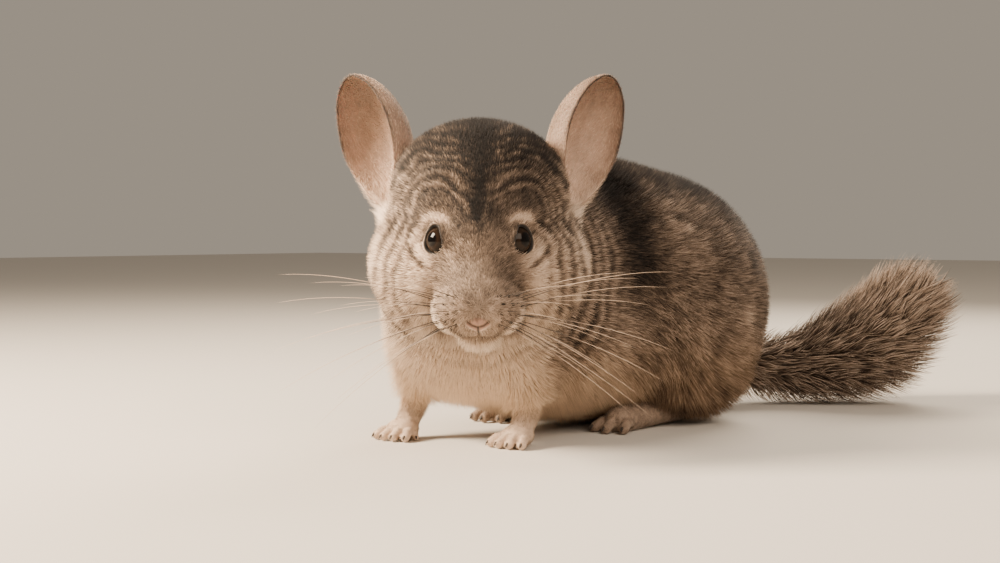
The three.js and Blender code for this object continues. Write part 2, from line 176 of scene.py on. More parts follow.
@dataclass(frozen=True)
class Mass:
    """An ellipsoid of flesh and fur."""

    centre: Triple
    radii: Triple

    def distance(self, points: np.ndarray) -> np.ndarray:
        """How far each point lies outside the ellipsoid, negative inside."""
        near = (points - self.centre) / self.radii
        share = np.linalg.norm(near, axis=1)
        steepness = np.linalg.norm(near / self.radii, axis=1)
        return share * (share - 1) / np.maximum(steepness, 1e-6)


@dataclass(frozen=True)
class Chain:
    """Balls that run together along a line, as a limb, toe or tail."""

    points: tuple[Triple, ...]
    radii: tuple[float, ...]

    def distance(self, points: np.ndarray) -> np.ndarray:
        """How far each point lies outside the chain, negative inside."""
        line = np.array(self.points, float)
        reach = max(self.radii) + 9
        near = np.all((points > line.min(0) - reach) & (points < line.max(0) + reach), axis=1)
        found = np.full(len(points), FAR)
        close = points[near]
        best = np.full(len(close), FAR)
        for a, b, start, end in zip(line, line[1:], self.radii, self.radii[1:]):
            run = b - a
            share = np.clip((close - a) @ run / (run @ run), 0, 1)
            gap = np.linalg.norm(close - (a + share[:, None] * run), axis=1)
            best = soft_min(best, gap - mixed(start, end, share), 0.8)
        found[near] = best
        return found

    def balls(self) -> list[tuple[np.ndarray, float]]:
        """Places and radii of balls that fill the chain without gaps."""
        found = []
        line = np.array(self.points, float)
        for a, b, start, end in zip(line, line[1:], self.radii, self.radii[1:]):
            steps = max(int(np.linalg.norm(b - a) / (0.5 * min(start, end))), 1)
            for share in np.linspace(0, 1, steps + 1):
                found.append((a + (b - a) * share, start + (end - start) * share))
        return found


@dataclass(frozen=True)
class HeadFrame:
    """The skull's own frame, which faces -Y."""

    centre: Triple = (28, -21, 91)
    turn: float = math.radians(37)

    @property
    def axes(self) -> np.ndarray:
        """The turn as a matrix."""
        c, s = math.cos(self.turn), math.sin(self.turn)
        return np.array([[c, -s, 0], [s, c, 0], [0, 0, 1]])

    def into(self, points: np.ndarray) -> np.ndarray:
        """Points of the body's frame in the skull's."""
        return (points - np.array(self.centre)) @ self.axes

    def out_of(self, points: np.ndarray) -> np.ndarray:
        """Points of the skull's frame in the body's."""
        return points @ self.axes.T + np.array(self.centre)


HEAD = HeadFrame()


def curve_through(points: tuple[Triple, ...], steps: int) -> np.ndarray:
    """Even places along a smooth curve.

    Args:
        points: The points that the curve passes.
        steps: How many places to give in each span.

    Returns:
        One row for each place.
    """
    line = np.array(points, float)
    padded = np.vstack([2 * line[0] - line[1], line, 2 * line[-1] - line[-2]])
    rows = []
    for i in range(len(line) - 1):
        p0, p1, p2, p3 = padded[i : i + 4]
        for t in np.arange(steps) / steps:
            square, cube = 2 * p0 - 5 * p1 + 4 * p2 - p3, 3 * p1 - p0 - 3 * p2 + p3
            rows.append((2 * p1 + (p2 - p0) * t + square * t**2 + cube * t**3) / 2)
    rows.append(line[-1])
    return np.array(rows)


@dataclass(frozen=True)
class Toe:
    """A toe from its knuckle to where it meets the floor."""

    knuckle: Triple
    turn: float
    length: float
    girth: float

    @property
    def out(self) -> np.ndarray:
        """The way it points along the floor."""
        return np.array([math.sin(self.turn), -math.cos(self.turn), 0.0])

    @property
    def tip(self) -> np.ndarray:
        """The middle of its last joint."""
        tip = np.array(self.knuckle) + self.out * self.length
        tip[2] = self.girth * 0.9
        return tip

    def chain(self) -> Chain:
        """Its flesh."""
        bend = (np.array(self.knuckle) + self.tip) / 2 + np.array([0, 0, self.girth * 0.35])
        points = (self.knuckle, tuple(bend), tuple(self.tip))
        return Chain(points, (self.girth * 0.86, self.girth * 0.8, self.girth * 0.86))


@dataclass(frozen=True)
class Foreleg:
    """A front leg with its palm and toes."""

    side: Side
    spread: float = 27

    @property
    def place(self) -> tuple[float, float]:
        """Where the wrist stands on the floor."""
        return MIDLINE + self.side.value * self.spread, 2 + self.side.value * 5

    def toes(self) -> list[Toe]:
        """Four toes and the small inner one."""
        x, y = self.place
        made = [
            Toe((x + p * 3.8, y - 7 - (1.5 - abs(p)) * 1.4, 4), p * math.radians(14), 6.2, 2.2)
            for p in (-1.5, -0.5, 0.5, 1.5)
        ]
        inward = -self.side.value
        made.append(Toe((x + inward * 5.6, y - 4, 3), inward * math.radians(50), 3.2, 1.6))
        return made

    def flesh(self) -> list[Chain | Mass]:
        """The leg's forms."""
        x, y = self.place
        s = self.side.value
        line = ((x, y - 4, 4.4), (x, y + 1, 11), (x - s, y + 4, 22), (x - 2 * s, y + 3, 40))
        palm = Mass((x, y - 5, 4.6), (6.8, 6.8, 4.4))
        return [Chain(line, (5.2, 4.5, 5.2, 9)), palm] + [toe.chain() for toe in self.toes()]


@dataclass(frozen=True)
class Hindfoot:
    """A long hind foot, flat on the floor."""

    side: Side
    spread: float = 34
    start: float = 72

    @property
    def place(self) -> tuple[float, float]:
        """Where its knuckles stand on the floor."""
        return MIDLINE + self.side.value * self.spread, self.start

    def toes(self) -> list[Toe]:
        """Three toes and the small inner one."""
        x, y = self.place
        made = [
            Toe((x + p * 5.4, y - 2 - (1 - abs(p)) * 2.4, 4.6), p * math.radians(13), 9, 2.6)
            for p in (-1, 0, 1)
        ]
        inward = -self.side.value
        made.append(Toe((x + inward * 8, y + 5, 3.6), inward * math.radians(20), 6, 2))
        return made

    def flesh(self) -> list[Chain | Mass]:
        """The foot's forms."""
        x, y = self.place
        s = self.side.value
        line = ((x + 3 * s, y + 50, 8), (x + 2 * s, y + 30, 6.4), (x + s, y + 12, 6), (x, y - 3, 5.2))
        return [Chain(line, (7, 5.6, 5.8, 6.2))] + [toe.chain() for toe in self.toes()]


@dataclass(frozen=True)
class TailForm:
    """The tail's line and the width of its brush."""

    points: tuple[Triple, ...] = (
        (13, 164, 34),
        (24, 194, 23),
        (42, 218, 19.5),
        (60, 234, 24),
        (78, 248, 33),
        (92, 259, 49),
    )
    brush: tuple[float, ...] = (16, 18, 21, 27, 32, 33, 26)
    core_share: float = 0.42

    def line(self) -> np.ndarray:
        """Places along the tail."""
        return curve_through(self.points, 8)

    def brush_radius(self, share: np.ndarray) -> np.ndarray:
        """How far the hair's tips stand from the middle for a share of the length."""
        return np.interp(share, np.linspace(0, 1, len(self.brush)), self.brush)

    def core_radius(self, share: np.ndarray) -> np.ndarray:
        """The skin's radius for a share of the length."""
        return np.minimum(self.brush_radius(share) * self.core_share, (1 - share) * 60 + 2)

    def flesh(self) -> Chain:
        """The tail under its hair."""
        line = self.line()
        shares = np.linspace(0, 1, len(line))
        return Chain(tuple(map(tuple, line)), tuple(self.core_radius(shares)))


@dataclass
class BodyForm:
    """The whole animal as one soft surface, out to the tips of the coat or down to the skin."""

    torso: tuple[Mass, ...] = (
        Mass((11, 125, 62), (61, 66, 58)),
        Mass((47, 118, 46), (27, 42, 42)),
        Mass((-27, 118, 46), (27, 42, 42)),
        Mass((7, 86, 68), (53, 56, 58)),
        Mass((5, 36, 68), (47, 44, 53)),
        Mass((3, 2, 50), (37, 32, 33)),
        Mass((8, -6, 60), (38, 29, 29)),
        Mass((6, 66, 40), (46, 60, 32)),
        Mass((29, 8, 37), (13, 15, 20)),
        Mass((-23, 2, 37), (13, 15, 20)),
    )
    face: tuple[Mass, ...] = (
        Mass((0, -3, 15), (36, 33, 29)),
        Mass((0, 16, 3), (35, 27, 36)),
        Mass((20, -2, -14), (24, 30, 26)),
        Mass((-20, -2, -14), (24, 30, 26)),
        Mass((0, -20, -8), (23, 21, 28)),
        Mass((0, -33, -27), (15, 17, 14)),
        Mass((8, -42, -31), (10, 9.5, 9.5)),
        Mass((-8, -42, -31), (10, 9.5, 9.5)),
        Mass((17, -23, 6), (8, 9, 7)),
        Mass((-17, -23, 6), (8, 9, 7)),
    )
    nose: Mass = Mass((0, -47.6, -35.4), (5.4, 3.6, 3.4))
    chin: Mass = Mass((0, -31, -39.4), (7.6, 10, 4.6))
    pad_heights: tuple[float, ...] = (-38.6, -37.6, -36.2, -34.6, -33.4)
    pad_widths: tuple[float, ...] = (0.3, 2.2, 4.4, 3.6, 0.6)
    nostril: tuple[tuple[float, float], ...] = ((0.2, -37.0), (2.2, -36.4), (3.9, -35.0))
    coat_blend: float = 16
    face_blend: float = 7
    torso_depth: float = 6.0
    head_depth: float = 2.6
    face_depth: float = 1.1
    muzzle_depth: float = 0.5
    limbs: list[Chain | Mass] = field(default_factory=list)
    tail: TailForm = field(default_factory=TailForm)

    def __post_init__(self) -> None:
        """Gathers the legs' forms."""
        for side in Side:
            self.limbs += Foreleg(side).flesh() + Hindfoot(side).flesh()

    def torso_distance(self, points: np.ndarray) -> np.ndarray:
        """Distance to the torso's coat."""
        found = self.torso[0].distance(points)
        for mass in self.torso[1:]:
            found = soft_min(found, mass.distance(points), self.coat_blend)
        return found

    def head_distance(self, points: np.ndarray) -> np.ndarray:
        """Distance to the head's coat."""
        local = HEAD.into(points)
        found = self.face[0].distance(local)
        for mass in self.face[1:]:
            found = soft_min(found, mass.distance(local), self.face_blend)
        return found

    def coat(self, points: np.ndarray) -> np.ndarray:
        """Distance to the tips of the coat, legs and tail left out."""
        return soft_min(self.torso_distance(points), self.head_distance(points), self.coat_blend)

    def shares(self, points: np.ndarray) -> dict[str, np.ndarray]:
        """How far each point belongs to the head, its face and its muzzle, from 0 to 1."""
        local = HEAD.into(points)
        head = (1 - eased(local[:, 1], 6, 30)) * eased(local[:, 2], -46, -36)
        head *= 1 - eased(np.linalg.norm(local, axis=1), 58, 70)
        return {
            "head": head,
            "face": head * eased(-local[:, 1], 10, 32),
            "muzzle": head * eased(-local[:, 1], 34, 44),
        }

    def coat_depth(self, points: np.ndarray) -> np.ndarray:
        """How deep the coat is over the skin."""
        depths = (self.torso_depth, self.head_depth, self.face_depth, self.muzzle_depth)
        return by_share(self.shares(points), *depths)

    def limb_distance(self, points: np.ndarray) -> np.ndarray:
        """Distance to the skin of the legs and feet."""
        found = np.full(len(points), FAR)
        near = points[:, 2] < 52
        close = points[near]
        best = np.full(len(close), FAR)
        for limb in self.limbs:
            best = soft_min(best, limb.distance(close), 0.9)
        found[near] = best
        return found

    def skin(self, points: np.ndarray) -> np.ndarray:
        """Distance to the animal's skin."""
        local = HEAD.into(points)
        found = self.coat(points) + self.coat_depth(points)
        found = soft_min(found, self.nose.distance(local), 1.6)
        found = soft_min(found, self.chin.distance(local), 1.2)
        found = soft_min(found, self.tail.flesh().distance(points), 8)
        return soft_min(found, self.limb_distance(points), 4)

    def pad(self, local: np.ndarray) -> np.ndarray:
        """1 on the bare skin round the nostrils and 0 beyond its edge."""
        wide = np.interp(local[:, 2], self.pad_heights, self.pad_widths, left=-3, right=-3)
        return (1 - eased(np.abs(local[:, 0]) - wide, -0.4, 0.6)) * eased(-local[:, 1], 42, 44)

    def slits(self, local: np.ndarray) -> np.ndarray:
        """How deep each point lies in the nostrils and the cleft of the lip, from 0 to 1.

        Args:
            local: Points in the skull's frame.

        Returns:
            One share for each point.
        """
        side, down = np.abs(local[:, 0]), -local[:, 2]
        groove = np.zeros(len(local))
        flat = np.stack([side, -down], axis=1)
        line = np.array(self.nostril)
        for a, b in zip(line, line[1:]):
            share = np.clip((flat - a) @ (b - a) / ((b - a) @ (b - a)), 0, 1)
            gap = np.linalg.norm(flat - (a + share[:, None] * (b - a)), axis=1)
            groove = np.maximum(groove, hump(gap, 0, 0.5))
        cleft = hump(side, 0, 0.5) * eased(down, 36, 37) * (1 - eased(down, 41, 42.4))
        mouth = hump(down - 41.2 - 0.35 * side, 0, 0.5) * (1 - eased(side, 3, 5.5))
        crease = 0.25 * hump(side, 0, 0.4) * eased(down, 32.5, 34) * (1 - eased(down, 36, 37))
        deepest = np.maximum.reduce([0.8 * groove, cleft, mouth, crease])
        return deepest * eased(-local[:, 1], 38, 41)

    def drawn_to_skin(self, points: np.ndarray, rounds: int) -> np.ndarray:
        """Points moved onto the skin along the steepest way.

        Args:
            points: Places near the skin.
            rounds: How often to repeat the move.

        Returns:
            The moved places.
        """
        step = 0.05
        corners = np.array([(1, 1, 1), (1, -1, -1), (-1, 1, -1), (-1, -1, 1)], float)
        for _ in range(rounds):
            values = [self.skin(points + corner * step) for corner in corners]
            slope = sum(v[:, None] * c for v, c in zip(values, corners)) / (4 * step)
            height = sum(values) / 4
            steepness = np.maximum(np.linalg.norm(slope, axis=1), 0.5)
            points = points - slope * (np.clip(height, -4, 4) / steepness**2)[:, None]
        return points

    def on_head(self, way: Triple) -> np.ndarray:
        """The coat's surface straight out from the skull's middle, in the skull's frame."""
        ray = unit(np.array([way], float))
        reach = 0.0
        for _ in range(80):
            reach -= float(self.coat(HEAD.out_of(ray * reach))[0]) * 0.8
        return (ray * reach)[0]


@dataclass(frozen=True)
class Eye:
    """An eyeball and the opening of its lids, in the skull's frame."""

    side: Side
    centre: np.ndarray
    radius: float = 6.2
    angle: float = math.radians(46)
    half_width: float = 4.5
    half_height: float = 5.3

    @property
    def axis(self) -> np.ndarray:
        """The way it looks."""
        way = [self.side.value * math.sin(self.angle), -math.cos(self.angle), 0.12]
        return unit(np.array(way))

    def around(self, local: np.ndarray) -> tuple[np.ndarray, np.ndarray, np.ndarray]:
        """Each point's place across, up and out along the eye's axis."""
        across = unit(np.cross([0, 0, 1], self.axis))
        offset = local - self.centre
        return offset @ across, offset @ np.cross(self.axis, across), offset @ self.axis

    def rim(self, local: np.ndarray) -> np.ndarray:
        """How far out from the eye's middle each point is, where 1 is the edge of the lids."""
        across, up, out = self.around(local)
        width = self.half_width * (1 - 0.2 * np.clip(up / self.half_height, -1, 1))
        share = np.hypot(across / width, up / self.half_height)
        return np.where(out > -2, share, 9.0)

    def lidded(self, local: np.ndarray) -> np.ndarray:
        """Skin with the lids' rounded margin raised and the skin inside them sunk under the eye.

        Args:
            local: The skin's points in the skull's frame.

        Returns:
            The moved points.
        """
        across, up, out = self.around(local)
        share = self.rim(local)
        ball = np.sqrt(np.maximum(self.radius**2 - across**2 - up**2, 0))
        brow = mixed(0.35, 0.8, eased(up, -3, 4))
        lid = np.maximum(out, ball + 0.35) + brow * hump(share, 1.15, 0.15)
        outside = mixed(lid, out, eased(share, 1.3, 1.8))
        wanted = mixed(ball - 1.1, outside, eased(share, 0.9, 1.02))
        near = share < 1.8
        move = np.where(near, wanted - out, 0)
        return local + move[:, None] * self.axis


# Meshes from the animal's frame


@dataclass(frozen=True)
class Stance:
    """Where the animal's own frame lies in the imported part's frame, in millimetres."""

    shift: np.ndarray

    def to_scene(self, points: np.ndarray) -> np.ndarray:
        """Millimetres of the animal's frame as metres of the scene."""
        return (points + self.shift) * MM

    def to_body(self, points: np.ndarray) -> np.ndarray:
        """Metres of the scene as millimetres of the animal's frame."""
        return points / MM - self.shift

    def read(self, mesh: bpy.types.Mesh) -> np.ndarray:
        """A mesh's vertices in the animal's frame."""
        return self.to_body(vertex_rows(mesh, "co"))

    def write(self, mesh: bpy.types.Mesh, points: np.ndarray) -> None:
        """Moves a mesh's vertices to points of the animal's frame."""
        mesh.vertices.foreach_set("co", self.to_scene(points).astype(np.float32).ravel())
        mesh.update()

    def skull(self) -> Matrix:
        """From the skull's frame to the scene."""
        head = Matrix.Translation(HEAD.centre) @ Matrix.Rotation(HEAD.turn, 4, "Z")
        return Matrix.Scale(MM, 4) @ Matrix.Translation(Vector(self.shift)) @ head


def vertex_rows(mesh: bpy.types.Mesh, what: str) -> np.ndarray:
    """A mesh's vertices, "co", or their normals, "normal", one row each."""
    flat = np.empty(len(mesh.vertices) * 3)
    mesh.vertices.foreach_get(what, flat)
    return flat.reshape(-1, 3)


def freed(shape: bmesh.types.BMesh, name: str) -> bpy.types.Mesh:
    """A shape as a new mesh."""
    mesh = bpy.data.meshes.new(name)
    shape.to_mesh(mesh)
    shape.free()
    return mesh


def write_value(mesh: bpy.types.Mesh, name: str, values: np.ndarray) -> None:
    """Writes one number for each vertex as a named attribute."""
    layer = mesh.attributes.new(name, "FLOAT", "POINT")
    layer.data.foreach_set("value", values.astype(np.float32).ravel())


def shown(name: str, mesh: bpy.types.Mesh, material: bpy.types.Material) -> bpy.types.Object:
    """A mesh as a smooth piece in the scene that rides on the animal's one body."""
    made = bpy.data.objects.new(name, mesh)
    bpy.context.scene.collection.objects.link(made)
    mesh.materials.append(material)
    mesh.polygons.foreach_set("use_smooth", [True] * len(mesh.polygons))
    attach(made, "root")
    LOG.info("%s: %d faces", name, len(mesh.polygons))
    return made


@dataclass
class Strands:
    """Many tapered solid hairs as one mesh."""

    spine: np.ndarray  # (hairs, rings + 1, 3): each ring's middle and then the tip
    across: np.ndarray  # (hairs, 3): the way each is widest
    over: np.ndarray  # (hairs, 3): the way each is thinnest
    widths: np.ndarray  # (hairs, rings)
    tones: np.ndarray  # (hairs, rings + 1)
    warmth: np.ndarray  # (hairs,)
    patches: np.ndarray  # (hairs, 2): each root's place on the unwrap, from 0 to 1
    sides: int = 3
    flatness: float = 0.55

    def piece(self, name: str, stance: Stance, material: bpy.types.Material) -> bpy.types.Object:
        """The hairs as a piece in the scene."""
        return shown(name, self.mesh(name, stance), material)

    def mesh(self, name: str, stance: Stance) -> bpy.types.Mesh:
        """The hairs as one mesh with their tones and unwrap.

        Args:
            name: The mesh's name.
            stance: Where the animal stands.

        Returns:
            The mesh, in metres.
        """
        hairs, rings = self.widths.shape
        turns = np.arange(self.sides) * 2 * math.pi / self.sides - math.pi / 2
        out = np.cos(turns)[None, :, None] * self.across[:, None, :]
        out = out - np.sin(turns)[None, :, None] * self.over[:, None, :] * self.flatness
        ring = self.spine[:, :rings, None, :] + out[:, None] * self.widths[:, :, None, None] / 2
        body = ring.reshape(hairs, rings * self.sides, 3)
        points = np.concatenate([body, self.spine[:, rings:, :]], axis=1)
        corners, sizes = self._faces(rings)
        per_hair = rings * self.sides + 1
        starts = np.arange(hairs)[:, None] * per_hair
        mesh = bpy.data.meshes.new(name)
        mesh.vertices.add(hairs * per_hair)
        mesh.loops.add(hairs * len(corners))
        mesh.polygons.add(hairs * len(sizes))
        mesh.vertices.foreach_set("co", stance.to_scene(points.reshape(-1, 3)).astype(np.float32).ravel())
        mesh.loops.foreach_set("vertex_index", (starts + corners[None]).astype(np.int32).ravel())
        firsts = np.concatenate([[0], np.cumsum(sizes)[:-1]])
        begins = np.arange(hairs)[:, None] * len(corners) + firsts[None]
        mesh.polygons.foreach_set("loop_start", begins.astype(np.int32).ravel())
        mesh.update(calc_edges=True)
        tones = np.repeat(self.tones[:, :rings], self.sides, axis=1)
        tones = np.concatenate([tones, self.tones[:, rings:]], axis=1)
        write_value(mesh, "tone", tones)
        write_value(mesh, "warmth", np.repeat(self.warmth, per_hair))
        along = np.append(np.repeat(np.arange(rings) / rings, self.sides), 1.0)
        wide = np.append(np.tile(np.arange(self.sides) / (self.sides - 1), rings), 0.5)
        corner_patch = np.stack([wide, along], axis=1)[corners] * PATCH
        spread = (self.patches * (1 - 2 * PATCH))[:, None, :] + corner_patch[None]
        layer = mesh.uv_layers.new(name="OFBake")
        layer.data.foreach_set("uv", spread.astype(np.float32).ravel())
        return mesh

    def _faces(self, rings: int) -> tuple[np.ndarray, np.ndarray]:
        """One hair's corners in a row and the number of corners of each face."""
        faces = []
        for r in range(rings - 1):
            for i in range(self.sides):
                j = (i + 1) % self.sides
                low, high = r * self.sides, (r + 1) * self.sides
                faces.append((low + i, low + j, high + j, high + i))
        last = (rings - 1) * self.sides
        for i in range(self.sides):
            faces.append((last + i, last + (i + 1) % self.sides, rings * self.sides))
        faces.append(tuple(reversed(range(self.sides))))
        corners = np.array([c for face in faces for c in face])
        return corners, np.array([len(face) for face in faces])


# Finishes


@dataclass(frozen=True)
class Stop:
    """One colour of a scale from dark to pale, and where it lies."""

    at: float
    colour: Triple


PELAGE = (
    Stop(0.0, (0.005, 0.0045, 0.0045)),
    Stop(0.2, (0.024, 0.018, 0.016)),
    Stop(0.45, (0.150, 0.110, 0.083)),
    Stop(0.7, (0.490, 0.368, 0.285)),
    Stop(1.0, (0.960, 0.810, 0.670)),
)
BARE_SKIN = (0.29, 0.150, 0.105)
Inputs = dict[str | int, object]  # what goes into a node's inputs, by name or number


def fill_ramp(ramp: bpy.types.ColorRamp, stops: tuple[Stop, ...]) -> None:
    """Sets a colour ramp's stops."""
    while len(ramp.elements) < len(stops):
        ramp.elements.new(0.5)
    for element, stop in zip(ramp.elements, stops):
        element.position = stop.at
        element.color = (*stop.colour, 1)


@dataclass(frozen=True)
class Graph:
    """The nodes of a material or a group, added one at a time."""

    tree: bpy.types.NodeTree

    @classmethod
    def of_material(cls, name: str) -> tuple[bpy.types.Material, Graph]:
        """A new material and its nodes."""
        made = bpy.data.materials.new(name)
        made.use_nodes = True
        return made, cls(made.node_tree)

    def fill(self, node: bpy.types.Node, feeds: Inputs, values: Inputs) -> None:
        """Links and sets a node's inputs."""
        for label, value in values.items():
            node.inputs[label].default_value = value
        for label, output in feeds.items():
            self.tree.links.new(output, node.inputs[label])

    def shade(self, feeds: Inputs, values: Inputs) -> None:
        """Links and sets the inputs of the material's shader."""
        self.fill(self.tree.nodes["Principled BSDF"], feeds, values)

    def add(self, kind: str, feeds: Inputs, values: Inputs, **settings: object) -> bpy.types.Node:
        """Adds a node.

        Args:
            kind: Its type, without the word ShaderNode.
            feeds: The outputs that its inputs are linked to.
            values: What its other inputs are set to.
            settings: The node's own settings.

        Returns:
            The node.
        """
        node = self.tree.nodes.new(f"ShaderNode{kind}")
        for label, setting in settings.items():
            setattr(node, label, setting)
        self.fill(node, feeds, values)
        return node

    def attribute(self, name: str) -> bpy.types.NodeSocket:
        """A number that each vertex carries."""
        return self.add("Attribute", {}, {}, attribute_name=name).outputs["Fac"]

    def place(self) -> bpy.types.NodeSocket:
        """The place on the piece."""
        return self.add("TexCoord", {}, {}).outputs["Object"]

    def mix(self, feeds: Inputs, values: Inputs, blend: str) -> bpy.types.NodeSocket:
        """Two colours mixed."""
        return self.add("Mix", feeds, values, data_type="RGBA", blend_type=blend).outputs["Result"]


class PelageGroup:
    """The coat's colour, shared by the skin and every tuft: a scale of tones, with grain."""

    name = "pelage"
    sockets = (
        ("INPUT", "Vector", ("Place",)),
        ("INPUT", "Float", ("Tone", "Warmth", "Grain Size", "Grain")),
        ("OUTPUT", "Color", ("Colour",)),
        ("OUTPUT", "Float", ("Roughness", "Height")),
    )
    warm_tint = (1.0, 0.86, 0.68, 1)
    smoothest = 0.55
    roughest = 0.75

    @classmethod
    def tree(cls) -> bpy.types.NodeTree:
        """The node group, made on its first use.

        Returns:
            The group, whose inputs are Place, Tone, Warmth, Grain Size and Grain, and whose outputs
            are Colour, Roughness and Height.
        """
        if cls.name in bpy.data.node_groups:
            return bpy.data.node_groups[cls.name]
        tree = bpy.data.node_groups.new(cls.name, "ShaderNodeTree")
        for way, kind, labels in cls.sockets:
            for label in labels:
                tree.interface.new_socket(label, in_out=way, socket_type=f"NodeSocket{kind}")
        graph = Graph(tree)
        taken = tree.nodes.new("NodeGroupInput").outputs
        given = tree.nodes.new("NodeGroupOutput")
        places = {"Vector": taken["Place"], "Scale": taken["Grain Size"]}
        grain = graph.add("TexNoise", places, {"Detail": 3}).outputs["Fac"]
        centred = graph.add("Math", {0: grain}, {1: 0.5}, operation="SUBTRACT").outputs[0]
        terms = {0: centred, 1: taken["Grain"], 2: taken["Tone"]}
        toned = graph.add("Math", terms, {}, operation="MULTIPLY_ADD").outputs[0]
        ramp = graph.add("ValToRGB", {"Fac": toned}, {})
        ramp.color_ramp.interpolation = "B_SPLINE"
        fill_ramp(ramp.color_ramp, PELAGE)
        colours = {"Factor": taken["Warmth"], "A": ramp.outputs["Color"]}
        warm = graph.mix(colours, {"B": cls.warm_tint}, "MULTIPLY")
        limits = {"To Min": cls.smoothest, "To Max": cls.roughest}
        rough = graph.add("MapRange", {"Value": grain}, limits).outputs["Result"]
        graph.fill(given, {"Colour": warm, "Roughness": rough, "Height": grain}, {})
        return tree


@dataclass(frozen=True)
class PelageFinish:
    """Skin or hair that takes its tone from its own mesh."""

    name: str
    grain_size: float
    grain: float
    bump: float = 0.2
    sheen: float = 0.0
    subsurface: float = 0.0
    tint: Triple = (1, 1, 1)
    specular: float = 0.3
    bump_depth: float = 0.0003
    sheen_roughness: float = 0.5
    subsurface_depth: float = 0.002

    def material(self) -> bpy.types.Material:
        """Makes the finish.

        Returns:
            A material that reads the attributes tone and warmth, and blush where the skin is bare.
        """
        made, graph = Graph.of_material(self.name)
        marks = {"Tone": graph.attribute("tone"), "Warmth": graph.attribute("warmth")}
        grains = {"Grain Size": self.grain_size, "Grain": self.grain}
        feeds = {"Place": graph.place(), **marks}
        pelage = graph.add("Group", feeds, grains, node_tree=PelageGroup.tree()).outputs
        tint = graph.mix({"A": pelage["Colour"]}, {"Factor": 1, "B": (*self.tint, 1)}, "MULTIPLY")
        blush = {"Factor": graph.attribute("blush"), "A": tint}
        shading = {
            "Base Color": graph.mix(blush, {"B": (*BARE_SKIN, 1)}, "MIX"),
            "Roughness": pelage["Roughness"],
        }
        if self.bump:
            relief = {"Strength": self.bump, "Distance": self.bump_depth}
            bump = graph.add("Bump", {"Height": pelage["Height"]}, relief)
            shading["Normal"] = bump.outputs["Normal"]
        look = {
            "Specular IOR Level": self.specular,
            "Sheen Weight": self.sheen,
            "Sheen Roughness": self.sheen_roughness,
            "Subsurface Weight": self.subsurface,
            "Subsurface Scale": self.subsurface_depth,
        }
        graph.shade(shading, look)
        return made


@dataclass(frozen=True)
class EyeFinish:
    """A wet, nearly black eye with a deep brown ring round its pupil."""

    name: str = "wet_eye"
    stops: tuple[Stop, ...] = (
        Stop(0.0, (0.002, 0.002, 0.002)),
        Stop(0.42, (0.003, 0.002, 0.002)),
        Stop(0.56, (0.018, 0.010, 0.006)),
        Stop(0.85, (0.009, 0.006, 0.004)),
        Stop(1.0, (0.004, 0.003, 0.003)),
    )
    fleck_scale: float = 900
    fleck_spread: float = 0.12
    roughness: float = 0.08
    specular: float = 0.13
    wetness: float = 0.04
    wet_roughness: float = 0.03

    def material(self) -> bpy.types.Material:
        """Makes the finish.

        Returns:
            A material that reads the attribute iris, 0 at the pupil's middle.
        """
        made, graph = Graph.of_material(self.name)
        iris = graph.attribute("iris")
        fleck = graph.add("TexNoise", {"Vector": graph.place()}, {"Scale": self.fleck_scale})
        terms = {0: fleck.outputs["Fac"], 2: iris}
        spread = graph.add("Math", terms, {1: self.fleck_spread}, operation="MULTIPLY_ADD")
        ramp = graph.add("ValToRGB", {"Fac": spread.outputs[0]}, {})
        fill_ramp(ramp.color_ramp, self.stops)
        look = {
            "Roughness": self.roughness,
            "Specular IOR Level": self.specular,
            "Coat Weight": self.wetness,
            "Coat Roughness": self.wet_roughness,
        }
        graph.shade({"Base Color": ramp.outputs["Color"]}, look)
        return made


@dataclass(frozen=True)
class FloorFinish:
    """A matt pale floor."""

    name: str = "pale_floor"
    colour: Triple = (0.62, 0.58, 0.53)
    roughness: float = 0.8

    def material(self) -> bpy.types.Material:
        """Makes the finish."""
        made, graph = Graph.of_material(self.name)
        graph.shade({}, {"Base Color": (*self.colour, 1), "Roughness": self.roughness})
        return made


# Markings


